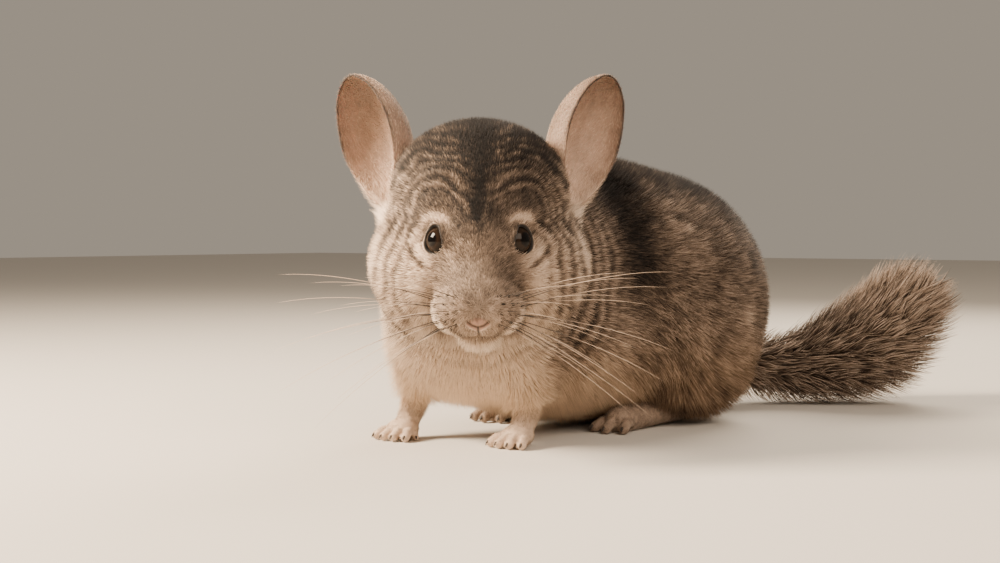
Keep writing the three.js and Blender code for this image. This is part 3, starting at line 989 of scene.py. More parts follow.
@dataclass
class Markings:
    """How dark and how warm the coat is at each place, for the skin and its tufts alike."""

    form: BodyForm
    eyes: tuple[Eye, ...]
    follicles: np.ndarray

    def tones(self, points: np.ndarray) -> tuple[np.ndarray, np.ndarray]:
        """The coat's tone from 0, nearly black, to 1, nearly white, and its warmth.

        Args:
            points: Places on the animal.

        Returns:
            The tones and the warmth, one number for each place.
        """
        head = self.form.shares(points)["head"]
        tone = mixed(self.body_tone(points), self.head_tone(points), head)
        tone += self.rings(points)
        low = 1 - eased(points[:, 2], 18, 60)
        warmth = np.clip(mixed(0.15 + 0.6 * low, 0.2 + 0.3 * low, head), 0, 1)
        foot = self.foot_share(points)
        tone = mixed(tone, np.where(points[:, 1] > 40, 0.54, 0.76) + 0.07 * noise(points, 1.6, 12), foot)
        return np.clip(tone, 0.02, 1), mixed(warmth, 0.3, foot)

    def foot_share(self, points: np.ndarray) -> np.ndarray:
        """1 on the feet, and 0 above the wrists and heels."""
        near = eased(-self.form.limb_distance(points), -3.5, -1.5)
        return near * (1 - eased(points[:, 2], 11, 20)) * eased(self.form.coat(points), -6, -2)

    def body_tone(self, points: np.ndarray) -> np.ndarray:
        """Dark on the back, mottled on the haunch, cream along the belly, with painted shade low between the
        flank and the haunch and towards the rump, and a painted highlight on the haunch's pale patch.
        """
        x, y, z = points.T
        height = z + 4 * noise(points, 14, 3) - 12 * (1 - eased(y, 46, 76))
        neck = self.neck_share(points)
        tone = np.interp(height, [10, 20, 34, 60, 92, 112], [0.92, 0.78, 0.58, 0.52, 0.41, 0.16])
        hind = eased(y, 78, 92) * (1 - eased(z, 20, 36))
        tone = mixed(tone, 0.58, hind)
        # Painted shadow: a dark patch low down in the crease between the flank and the haunch.
        tone -= 0.2 * hump(y, 83, 7) * hump(z, 17, 8)
        tone = mixed(tone, 0.62, 0.85 * neck * (1 - eased(z, 84, 104)))
        # A dark band across the back behind the shoulders, and painted shade that darkens the coat towards
        # the far end of the rump.
        tone -= 0.25 * hump(y, 63, 11) * eased(z, 44, 78) + 0.1 * eased(y, 112, 140)
        # A pale patch on top of the haunch, partly the coat's own mottling and partly a painted highlight.
        mottle_and_highlight = hump(y, 92, 15) * hump(z, 92, 14)
        tone += mottle_and_highlight * (0.2 + 0.24 * noise(points, 5, 5))
        streak = np.array([1, 1, 0.35])
        tone += 0.1 * noise(points * streak, 4.4, 10) * eased(y, 84, 100)
        speckle = 0.06 * noise(points, 12, 6) + 0.08 * noise(points, 3.6, 7) + 0.07 * noise(points, 1.9, 8)
        tone += speckle * (1 - 0.7 * neck)
        chest = (1 - eased(y, 0, 26)) * (1 - eased(z, 54, 74))
        tone = mixed(tone, 0.94 + 0.04 * noise(points, 6, 9), chest)
        elbow = hump(np.abs(x - MIDLINE), 43, 15) * hump(y, 20, 15) * hump(z, 38, 15)
        return mixed(tone, 0.5 + 0.08 * noise(points, 3, 8), 0.9 * elbow)

    def head_tone(self, points: np.ndarray) -> np.ndarray:
        """The dark streak, arched bands, pale brows and pale cheeks of the face."""
        h = HEAD.into(points)
        side, front, up = np.abs(h[:, 0]), -h[:, 1], h[:, 2]
        wander = 1.9 * noise(h, 7, 21)
        tone = mixed(0.46, 0.31, eased(up, -5, 12))
        tone = mixed(tone, mixed(0.15, 0.3, eased(-front, 2, 20)), eased(up, 14, 34))
        tone += 0.12 * eased(side, 20, 30) * (1 - eased(up, 18, 32))
        cheek = eased(-up, -4, 10) * eased(side, 13, 22)
        tone = mixed(tone, mixed(0.8, 0.6, eased(-front, -6, 10)), cheek)
        tone = mixed(tone, self.muzzle_tone(side, up), eased(front, 26, 36) * eased(-up, 22, 29))
        tone += self.forehead(side, up, h[:, 0] + wander, wander) * (1 - eased(-front, 0, 18))
        tone += 0.08 * noise(h, 1.2, 22) + 0.07 * noise(h, 3.4, 23)
        tone -= self.cheek_lines(side, up, wander) * eased(front, -4, 8)
        tone = mixed(tone, 0.92, np.clip(1.8 * self.ear_tuft(points), 0, 1))
        for eye in self.eyes:
            across, height, _ = eye.around(h)
            rim = eye.rim(h)
            brow = hump(np.hypot(across, height), 8.2, 1.8) * eased(height, 3, 6) * (rim < 9)
            tone = mixed(tone, 0.76, np.clip(1.6 * brow * hump(across, 0, 5), 0, 1))
            lid = mixed(0.66, 0.16, eased(height, -3.5, 0))
            tone = mixed(tone, lid, 1 - eased(rim, 1.08, 1.26))
        return tone

    def muzzle_tone(self, side: np.ndarray, up: np.ndarray) -> np.ndarray:
        """The taupe of the muzzle, its dark wedge over the nose, the cream below the lip and a painted shadow
        line along the lip.

        Args:
            side: How far each place is from the middle of the face.
            up: How high it is over the skull's middle.

        Returns:
            The tones.
        """
        lip = -41.8 + 0.045 * side**2
        tone = mixed(0.92, 0.53, eased(up - lip, -1.5, 0.5))
        tone = mixed(tone, 0.78, eased(side, 13, 19))
        # Painted shadow: a dark line along the U of the lower lip, under the muzzle's edge.
        tone -= 0.36 * hump(up - lip, 0, 1.1) * (1 - eased(side, 12, 17))
        wedge = 1 - eased(side - np.maximum((up + 32) * 0.6, 0), 0, 4)
        return tone - 0.14 * wedge * eased(up, -34, -29)

    def forehead(
        self, side: np.ndarray, up: np.ndarray, across: np.ndarray, wander: np.ndarray
    ) -> np.ndarray:
        """The dark streak down the middle of the forehead and the bands that arch over the brows.

        Args:
            side: How far each place is from the middle of the face.
            up: How high it is over the skull's middle.
            across: Its place from right to left, with the streak's wander.
            wander: How much the bands bend.

        Returns:
            What is added to the tone.
        """
        wide = np.interp(up, [-4, 10, 36], [2.8, 2.8, 5.5])
        streak = np.exp(-((across / wide) ** 2)) * eased(up, -9, 9)
        streak += 0.45 * hump(side, 0, 8) * hump(up, 3, 7)
        inner = np.where(side < 17, (17 - side) * 0.8, (side - 17) * 1.4)
        arch = np.hypot(inner, up - 4) + wander
        band = np.sin(2 * math.pi * arch / 3.6)
        reach = eased(arch, 8, 11) * (1 - eased(arch, 30, 42)) * eased(up, -3, 4)
        return 0.16 * reach * band * mixed(0.4, 1, eased(side, 3, 10)) - 0.24 * streak

    def cheek_lines(self, side: np.ndarray, up: np.ndarray, wander: np.ndarray) -> np.ndarray:
        """Thin dark lines that curve down the cheeks like brackets round the face."""
        reach = np.hypot(side, up + 20) + 0.8 * wander
        lines = 0.6 * hump(reach, 27.5, 0.8)
        for radius in (31.4, 34.8, 38.4, 42.4):
            lines = lines + hump(reach, radius, 1.0)
        shown_at = eased(side, 17, 24) * eased(-up, -8, 2) * (1 - eased(-up, 32, 42))
        under = hump(np.hypot(side - 14, up + 4), 12.5, 0.9) * eased(side, 17, 21) * eased(-up, 6, 9)
        return 0.44 * lines * shown_at + 0.4 * under

    def ear_tuft(self, points: np.ndarray) -> np.ndarray:
        """1 in the middle of the pale tuft below each ear, and 0 away from it."""
        h = HEAD.into(points)
        return hump(np.abs(h[:, 0]), 34.5, 4.2) * hump(h[:, 1], 1, 6) * hump(h[:, 2], 3, 5)

    def neck_reach(self, points: np.ndarray) -> np.ndarray:
        """How far each place is from the middle of the face."""
        return np.linalg.norm(HEAD.into(points) - np.array([0, -25, -8]), axis=1)

    def neck_share(self, points: np.ndarray) -> np.ndarray:
        """1 on the neck behind the cheeks, where the coat parts in lines, and 0 elsewhere."""
        reach = self.neck_reach(points)
        share = eased(reach, 40, 52) * (1 - eased(reach, 80, 102))
        return share * eased(points[:, 2], 30, 50) * (1 - eased(points[:, 2], 108, 122))

    def rings(self, points: np.ndarray) -> np.ndarray:
        """Dark lines round the neck, behind the cheeks."""
        reach = self.neck_reach(points) + 3.0 * noise(points, 13, 31)
        wave = np.sin(2 * math.pi * reach / 6.2)
        depth = 0.36 + 0.14 * noise(points, 9, 32)
        return self.neck_share(points) * (0.08 * np.maximum(wave, 0) - depth * eased(-wave, -0.15, 0.8))


# The skin


@dataclass
class Skin:
    """One closed skin over the body, head, legs and tail, with lids, nostrils and lips."""

    form: BodyForm
    eyes: tuple[Eye, ...]
    stance: Stance
    voxel: float = 1.3
    rounds: int = 3
    nose_middle: Triple = (0, -47, -37)
    nose_reach: Triple = (8.5, 9, 8)
    slit_depth: float = 1.5
    sole: float = 0.25

    def mesh(self) -> bpy.types.Mesh:
        """Builds the skin.

        Returns:
            The finished mesh, in metres.
        """
        mesh = self._rough_mesh()
        self.stance.write(mesh, self.form.drawn_to_skin(self.stance.read(mesh), self.rounds))
        for reach in (1.0, 0.62):
            self._refine(mesh, reach)
        self._even_out(mesh)
        points = self._sculpted(self.form.drawn_to_skin(self.stance.read(mesh), self.rounds))
        points[:, 2] = np.maximum(points[:, 2], self.sole)
        self.stance.write(mesh, points)
        return mesh

    def _rough_mesh(self) -> bpy.types.Mesh:
        """Balls for every form, run together by a voxel remesh."""
        shape = bmesh.new()
        for mass in self.form.torso:
            self._ball(shape, np.array(mass.centre), np.array(mass.radii) - self.form.torso_depth, None)
        for mass in (*self.form.face, self.form.nose, self.form.chin):
            self._ball(shape, np.array(mass.centre), np.array(mass.radii) - 0.8, HEAD)
        for form in (*self.form.limbs, self.form.tail.flesh()):
            if isinstance(form, Mass):
                self._ball(shape, np.array(form.centre), np.array(form.radii), None)
                continue
            for centre, radius in form.balls():
                self._ball(shape, centre, np.full(3, radius), None, 2)
        rough = freed(shape, "rough_skin")
        holder = bpy.data.objects.new("rough_skin", rough)
        bpy.context.scene.collection.objects.link(holder)
        remesh = holder.modifiers.new("run_together", "REMESH")
        remesh.mode = "VOXEL"
        remesh.voxel_size = self.voxel * MM
        ready = holder.evaluated_get(bpy.context.evaluated_depsgraph_get())
        mesh = bpy.data.meshes.new_from_object(ready)
        bpy.data.objects.remove(holder)
        bpy.data.meshes.remove(rough)
        mesh.name = "skin"
        return mesh

    def _ball(
        self,
        shape: bmesh.types.BMesh,
        centre: np.ndarray,
        radii: np.ndarray,
        frame: HeadFrame | None,
        detail: int = 4,
    ) -> None:
        """Adds an ellipsoid to the rough shape, in the body's frame or the skull's."""
        turn = Matrix.Identity(4)
        if frame is not None:
            centre = frame.out_of(centre[None])[0]
            turn = Matrix.Rotation(frame.turn, 4, "Z")
        place = Matrix.Translation(Vector(self.stance.to_scene(centre[None])[0]))
        size = Matrix.Diagonal((*(radii * MM), 1))
        bmesh.ops.create_icosphere(shape, subdivisions=detail, radius=1, matrix=place @ turn @ size)

    def _refine(self, mesh: bpy.types.Mesh, reach: float) -> None:
        """Splits the faces round the eyes, the nose, the mouth and the toes."""
        shape = bmesh.new()
        shape.from_mesh(mesh)
        centres = np.array([face.calc_center_median() for face in shape.faces])
        points = self.stance.to_body(centres)
        h = HEAD.into(points)
        near = np.linalg.norm((h - self.nose_middle) / self.nose_reach, axis=1) < reach
        for eye in self.eyes:
            near |= eye.rim(h) < 1.1 + reach * 0.6
        if reach == 1.0:
            near |= (points[:, 2] < 13) & (self.form.limb_distance(points) < 0.6)
        picked = {edge for face, wanted in zip(shape.faces, near) if wanted for edge in face.edges}
        bmesh.ops.subdivide_edges(shape, edges=list(picked), cuts=1, use_grid_fill=True)
        wide = [face for face in shape.faces if len(face.verts) > 4]
        bmesh.ops.triangulate(shape, faces=wide)
        shape.to_mesh(mesh)
        shape.free()

    def _even_out(self, mesh: bpy.types.Mesh) -> None:
        """Relaxes the faces' sizes."""
        shape = bmesh.new()
        shape.from_mesh(mesh)
        for _ in range(2):
            bmesh.ops.smooth_vert(
                shape, verts=shape.verts, factor=0.5, use_axis_x=True, use_axis_y=True, use_axis_z=True
            )
        shape.to_mesh(mesh)
        shape.free()

    def _sculpted(self, points: np.ndarray) -> np.ndarray:
        """Lids, nostrils and the cleft of the lip pressed into the skin."""
        h = HEAD.into(points)
        for eye in self.eyes:
            h = eye.lidded(h)
        h[:, 1] += self.slit_depth * self.form.slits(h)
        return HEAD.out_of(h)


# The coat


@dataclass
class Coat:
    """Tufts over the whole skin, which lie along the body and gather into clumps."""

    form: BodyForm
    markings: Markings
    stance: Stance
    eyes: tuple[Eye, ...]
    seed: int = 7
    torso_density: float = 3.0
    head_density: float = 4.2
    face_density: float = 6.6
    limb_density: float = 5.0
    clump: float = 3.4
    lowest: float = 0.6
    root_depth: float = 0.3
    follicle_radius: float = 0.85

    def pieces(self, skin: bpy.types.Mesh, material: bpy.types.Material) -> list[bpy.types.Object]:
        """Grows the tufts, one piece for each region.

        Args:
            skin: The finished skin.
            material: The hair's finish.

        Returns:
            The pieces of coat.
        """
        draw = np.random.default_rng(self.seed)
        roots, normals = scattered(skin, self.stance, self.density, draw)
        traits = self.traits(roots)
        made = []
        labels = self.regions(roots, traits)
        spine, across = self.grown(roots, normals, traits, draw)
        tones, warmth = self.coloured(roots, traits, draw)
        widths = traits["width"][:, None] * draw.uniform(0.75, 1.25, (len(roots), 1))
        for number, region in enumerate(Region):
            own = labels == number
            shapes = (spine[own], across[own], normals[own], widths[own])
            hair = Strands(*shapes, tones[own], warmth[own], self.unwrap(roots[own], region))
            made.append(hair.piece(region.value, self.stance, material))
        return made

    def density(self, points: np.ndarray) -> np.ndarray:
        """Tufts for each square millimetre."""
        share = self.form.shares(points)
        count = mixed(self.torso_density, self.head_density, share["head"])
        count = mixed(count, self.face_density, share["face"])
        limb = self.limb_share(points)
        count = mixed(count, self.limb_density, limb)
        h = HEAD.into(points)
        bare = (self.form.pad(h) > 0.5) | (self.form.slits(h) > 0.35)
        for eye in self.eyes:
            bare |= eye.rim(h) < 1.14
        bare |= (points[:, 2] < 1.2) | (self.tail_share(points) > 0.5)
        return np.where(bare, 0, count)

    def limb_share(self, points: np.ndarray) -> np.ndarray:
        """How far each point belongs to the legs, from 0 to 1."""
        near = self.form.limb_distance(points)
        return eased(self.form.coat(points) + self.form.torso_depth - near, 1, 5)

    def tail_share(self, points: np.ndarray) -> np.ndarray:
        """1 where the tail's own long hair grows, and 0 elsewhere."""
        away = self.form.coat(points) + self.form.torso_depth
        tail = self.form.tail.flesh().distance(points)
        return ((away > 3) & (tail < 2)).astype(float)

    def traits(self, points: np.ndarray) -> dict[str, np.ndarray]:
        """Each tuft's length, width and slopes, in millimetres and radians."""
        share = self.form.shares(points)
        limb = self.limb_share(points)
        foot = limb * (1 - eased(points[:, 2], 8, 16))
        cheek = share["head"] * eased(-HEAD.into(points)[:, 2], -6, 14)
        found = {"limb": limb, **share}
        rows = {
            "length": (6.4, 3.9, 2.4, 1.5, 3.8, 1.5),
            "width": (0.44, 0.37, 0.29, 0.24, 0.34, 0.26),
            "rise": (1.18, 0.9, 0.6, 0.46, 0.6, 0.35),
        }
        for name, (torso, head, face, muzzle, leg, paw) in rows.items():
            value = mixed(by_share(share, torso, head, face, muzzle), leg, limb)
            found[name] = mixed(value, paw, foot)
        tuft = self.markings.ear_tuft(points)
        found["neck"] = self.markings.neck_share(points)
        belly = (1 - limb) * (1 - share["head"]) * (1 - eased(points[:, 2], 18, 34))
        found["length"] *= 1 + 0.25 * cheek + 2.0 * tuft - 0.25 * found["neck"] + 0.6 * belly
        found["rise"] = mixed(mixed(found["rise"], 1.3, found["neck"]), 1.1, tuft)
        return found

    def lie(self, points: np.ndarray, normals: np.ndarray) -> np.ndarray:
        """The way the coat lies at each place, along the skin."""
        share = self.form.shares(points)["head"]
        limb = self.limb_share(points)
        h = HEAD.into(points)
        away = unit(h - np.array([0, -54, -30])) @ HEAD.axes.T
        ahead = np.maximum(-normals[:, 1], 0)
        back = np.stack([0.12 * normals[:, 0], np.ones(len(points)), -0.4 - 1.6 * ahead], axis=1)
        back[:, 1] -= 1.1 * ahead
        way = mixed(unit(back), away, share[:, None])
        foot = 1 - eased(points[:, 2], 6, 14)
        down = np.stack([0 * foot, mixed(-0.1, -1.0, foot), mixed(-1.0, -0.25, foot)], axis=1)
        way = mixed(way, unit(down), limb[:, None])
        swirl = np.stack([noise(points, 9, seed) for seed in (41, 42, 43)], axis=1)
        calm = np.maximum(0.6 * share, 0.8 * self.markings.neck_share(points))
        way = unit(way) + 0.35 * swirl * (1 - calm[:, None])
        return unit(way - np.sum(way * normals, axis=1, keepdims=True) * normals)

    def grown(
        self, roots: np.ndarray, normals: np.ndarray, traits: dict[str, np.ndarray], draw: np.random.Generator
    ) -> tuple[np.ndarray, np.ndarray]:
        """Each tuft's root and tip, and the way it is widest."""
        count = len(roots)
        way = self.lie(roots, normals)
        aside = np.cross(normals, way)
        stray = draw.normal(0, 0.16, (count, 1))
        way = unit(way + aside * stray)
        length = traits["length"][:, None] * draw.uniform(0.78, 1.18, (count, 1))
        lift = draw.normal(1, 0.12, (count, 1))
        rise = traits["rise"][:, None] * lift
        tip = roots + (way * np.cos(rise) + normals * np.sin(rise)) * length
        pull = 0.16 * (1 - traits["head"] * 0.4) * (1 - traits["neck"])
        tip = gathered(roots, tip, self.clump, pull[:, None], 51)
        tip[:, 2] = np.maximum(tip[:, 2], self.lowest)
        rooted = roots - normals * self.root_depth
        return np.stack([rooted, tip], axis=1), unit(np.cross(way, normals))

    def coloured(
        self, roots: np.ndarray, traits: dict[str, np.ndarray], draw: np.random.Generator
    ) -> tuple[np.ndarray, np.ndarray]:
        """Each tuft's tone at its root and tip, and its warmth."""
        tone, warmth = self.markings.tones(roots)
        count = len(roots)
        own = draw.normal(0, 0.06, count)
        plain = eased(tone, 0.62, 0.8)
        pale = draw.random(count) + 0.35 * noise(roots, 1.3, 61) < 0.25 + 0.6 * tone
        ticked = np.where(pale, 0.15, -0.15) * (1 - 0.75 * plain) * (1 - 0.6 * traits["neck"])
        tone = tone + own
        gaps = HEAD.into(roots)[:, None, :] - self.markings.follicles[None]
        dark = np.linalg.norm(gaps, axis=2).min(1) < self.follicle_radius
        tone = np.where(dark, -0.2, tone)
        ticked = np.where(dark, 0, ticked)
        # The roots are darker than the tips: partly the coat's dark underfur and partly painted shade deep in
        # the coat.
        depth = mixed(0.22, 0.1, traits["face"]) * (1 - 0.5 * plain)
        tones = np.stack([tone - depth, tone + ticked], axis=1)
        return np.clip(tones, 0.0, 1), warmth

    def regions(self, roots: np.ndarray, traits: dict[str, np.ndarray]) -> np.ndarray:
        """The number of the region that each root is in."""
        h = HEAD.into(roots)
        on_head = self.form.head_distance(roots) < self.form.torso_distance(roots)
        left = roots[:, 0] > MIDLINE + roots[:, 1] * 0.06
        order = list(Region)
        where = np.where(left, order.index(Region.SHOULDER_LEFT), order.index(Region.SHOULDER_RIGHT))
        where = where + 2 * (roots[:, 1] > 52) + 2 * (roots[:, 1] > 112)
        face = np.where(h[:, 0] > 0, order.index(Region.FACE_LEFT), order.index(Region.FACE_RIGHT))
        where = np.where(on_head, face, where)
        where = np.where(on_head & (h[:, 1] > -12), order.index(Region.CROWN), where)
        return np.where(traits["limb"] > 0.5, order.index(Region.LEGS), where)

    def unwrap(self, roots: np.ndarray, region: Region) -> np.ndarray:
        """Each root's place on a turned-out picture of its region, from 0 to 1 both ways."""
        if region in (Region.FACE_LEFT, Region.FACE_RIGHT, Region.CROWN):
            h = HEAD.into(roots)
            flat = np.stack([np.arctan2(h[:, 0], -h[:, 1]), h[:, 2]], axis=1)
        elif region is Region.LEGS:
            leg = np.stack([roots[:, 0] > MIDLINE, roots[:, 1] > 40], axis=1) @ np.array([1, 2])
            flat = np.zeros((len(roots), 2))
            for number in np.unique(leg):
                own = leg == number
                middle = roots[own].mean(0)
                turn = np.arctan2(roots[own, 0] - middle[0], roots[own, 1] - middle[1])
                flat[own] = np.stack([turn / 7 + number, roots[own, 2]], axis=1)
        else:
            turn = np.arctan2(roots[:, 0] - 6, roots[:, 2] - 62)
            flat = np.stack([turn, roots[:, 1]], axis=1)
        low, high = flat.min(0), flat.max(0)
        return (flat - low) / np.maximum(high - low, 1e-6)


def scattered(
    mesh: bpy.types.Mesh,
    stance: Stance,
    density: Callable[[np.ndarray], np.ndarray],
    draw: np.random.Generator,
) -> tuple[np.ndarray, np.ndarray]:
    """Roots spread over a mesh.

    Args:
        mesh: The skin that they grow from.
        stance: Where the animal stands.
        density: Gives the roots for each square millimetre at some places.
        draw: The random numbers.

    Returns:
        The roots' places and the skin's normals there.
    """
    mesh.calc_loop_triangles()
    corners = np.empty(len(mesh.loop_triangles) * 3, np.int32)
    mesh.loop_triangles.foreach_get("vertices", corners)
    corners = corners.reshape(-1, 3)
    points, normals = stance.read(mesh), vertex_rows(mesh, "normal")
    a, b, c = (points[corners[:, i]] for i in range(3))
    area = np.linalg.norm(np.cross(b - a, c - a), axis=1) / 2
    total = np.cumsum(area * density((a + b + c) / 3))
    count = int(total[-1])
    marks = (np.arange(count) + draw.random(count)) / count * total[-1]
    chosen = np.minimum(np.searchsorted(total, marks), len(area) - 1)
    u, v = draw.random((2, count))
    over = u + v > 1
    u, v = np.where(over, 1 - u, u)[:, None], np.where(over, 1 - v, v)[:, None]
    own = corners[chosen]
    roots = points[own[:, 0]] * (1 - u - v) + points[own[:, 1]] * u + points[own[:, 2]] * v
    facing = normals[own[:, 0]] * (1 - u - v) + normals[own[:, 1]] * u + normals[own[:, 2]] * v
    return roots, unit(facing)


def gathered(
    roots: np.ndarray, tips: np.ndarray, clump: float, pull: np.ndarray | float, seed: int
) -> np.ndarray:
    """Tips drawn towards the middle of their clump.

    Args:
        roots: Where the tufts grow.
        tips: Where they end.
        clump: The width of a clump.
        pull: How far a tip moves towards its clump's middle, as a share.
        seed: Which noise bends the clumps' borders.

    Returns:
        The moved tips.
    """
    wobble = np.stack([noise(roots, 3.0, seed + i) for i in range(3)], axis=1) * 2.2
    keys = np.floor((roots + wobble) / clump).astype(np.int64)
    _, own = np.unique(keys @ np.array([1, 4099, 16785407]), return_inverse=True)
    counts = np.bincount(own)
    middle = np.stack([np.bincount(own, tips[:, i]) / counts for i in range(3)], axis=1)
    return tips + (middle[own] - tips) * pull


def read_along(rows: np.ndarray, share: np.ndarray) -> np.ndarray:
    """Rows read off between their neighbours, for shares of the way along them."""
    place = share * (len(rows) - 1)
    return np.stack([np.interp(place, np.arange(len(rows)), rows[:, i]) for i in range(3)], axis=1)


def in_a_row(count: int) -> np.ndarray:
    """Places side by side on the unwrap, for a few hairs."""
    return np.stack([np.arange(count) / count, np.full(count, 0.5)], axis=1)


# The tail's brush


@dataclass
class TailBrush:
    """Long dark hair with pale tips round the tail."""

    form: TailForm
    stance: Stance
    hairs: int = 11000
    seed: int = 13
    first: float = 0.06
    last: float = 0.99
    clump: float = 6.0
    pull: float = 0.34
    lowest: float = 0.5
    pale_share: float = 0.7

    def piece(self, material: bpy.types.Material) -> bpy.types.Object:
        """Grows the brush.

        Args:
            material: The hair's finish.

        Returns:
            The piece.
        """
        draw = np.random.default_rng(self.seed)
        column = (self.hairs, 1)
        line = self.form.line()
        share = np.sqrt(draw.uniform(self.first**2, 1, self.hairs)) * self.last
        at = read_along(line, share)
        way = unit(read_along(unit(np.gradient(line, axis=0)), share))
        sideways = unit(np.cross(way, [0, 0, 1]))
        upright = np.cross(sideways, way)
        turn = draw.uniform(-math.pi, math.pi, self.hairs)[:, None]
        outward = sideways * np.sin(turn) + upright * np.cos(turn)
        core = self.form.core_radius(share)[:, None]
        brush = self.form.brush_radius(share)[:, None]
        closing = eased(share, 0.72, self.last)[:, None]
        rise = draw.normal(0.96, 0.1, column)
        rise = rise * (1 - closing * draw.uniform(0.1, 0.95, column))
        length = (brush - core) / np.sin(0.8) * draw.uniform(0.7, 1.25, column)
        length = length * (1 - 0.1 * closing)
        spine = [at + outward * core * 0.8]
        for step, slope in enumerate((1.0, 0.88, 0.78)):
            angle = rise * slope
            spine.append(spine[-1] + (way * np.cos(angle) + outward * np.sin(angle)) * length / 3)
        whole = np.stack(spine, axis=1)
        whole[:, 3] = gathered(whole[:, 0], whole[:, 3], self.clump, self.pull, 71)
        whole[:, :, 2] = np.maximum(whole[:, :, 2], self.lowest)
        widths = draw.uniform(0.42, 0.75, column) * np.array([0.9, 1.0, 0.7])
        base = 0.17 + 0.05 * noise(at, 9, 72) + draw.normal(0, 0.05, self.hairs)
        pale = draw.random(self.hairs) < self.pale_share
        base = base + 0.2 * (1 - eased(share, 0.15, 0.4))
        end = np.where(pale, 0.78, 0.3) + draw.normal(0, 0.06, self.hairs)
        tones = np.clip(np.stack([base * 0.6, base, mixed(base, end, 0.45), end], axis=1), 0, 1)
        patches = np.stack([(turn[:, 0] / math.pi + 1) / 2, share], axis=1)
        across = unit(np.cross(whole[:, 3] - whole[:, 0], outward))
        warmth = np.full(self.hairs, 0.15)
        hair = Strands(whole, across, outward, widths, tones, warmth, patches)
        return hair.piece("tail_brush", self.stance, material)


# Ears, eyes, claws and whiskers


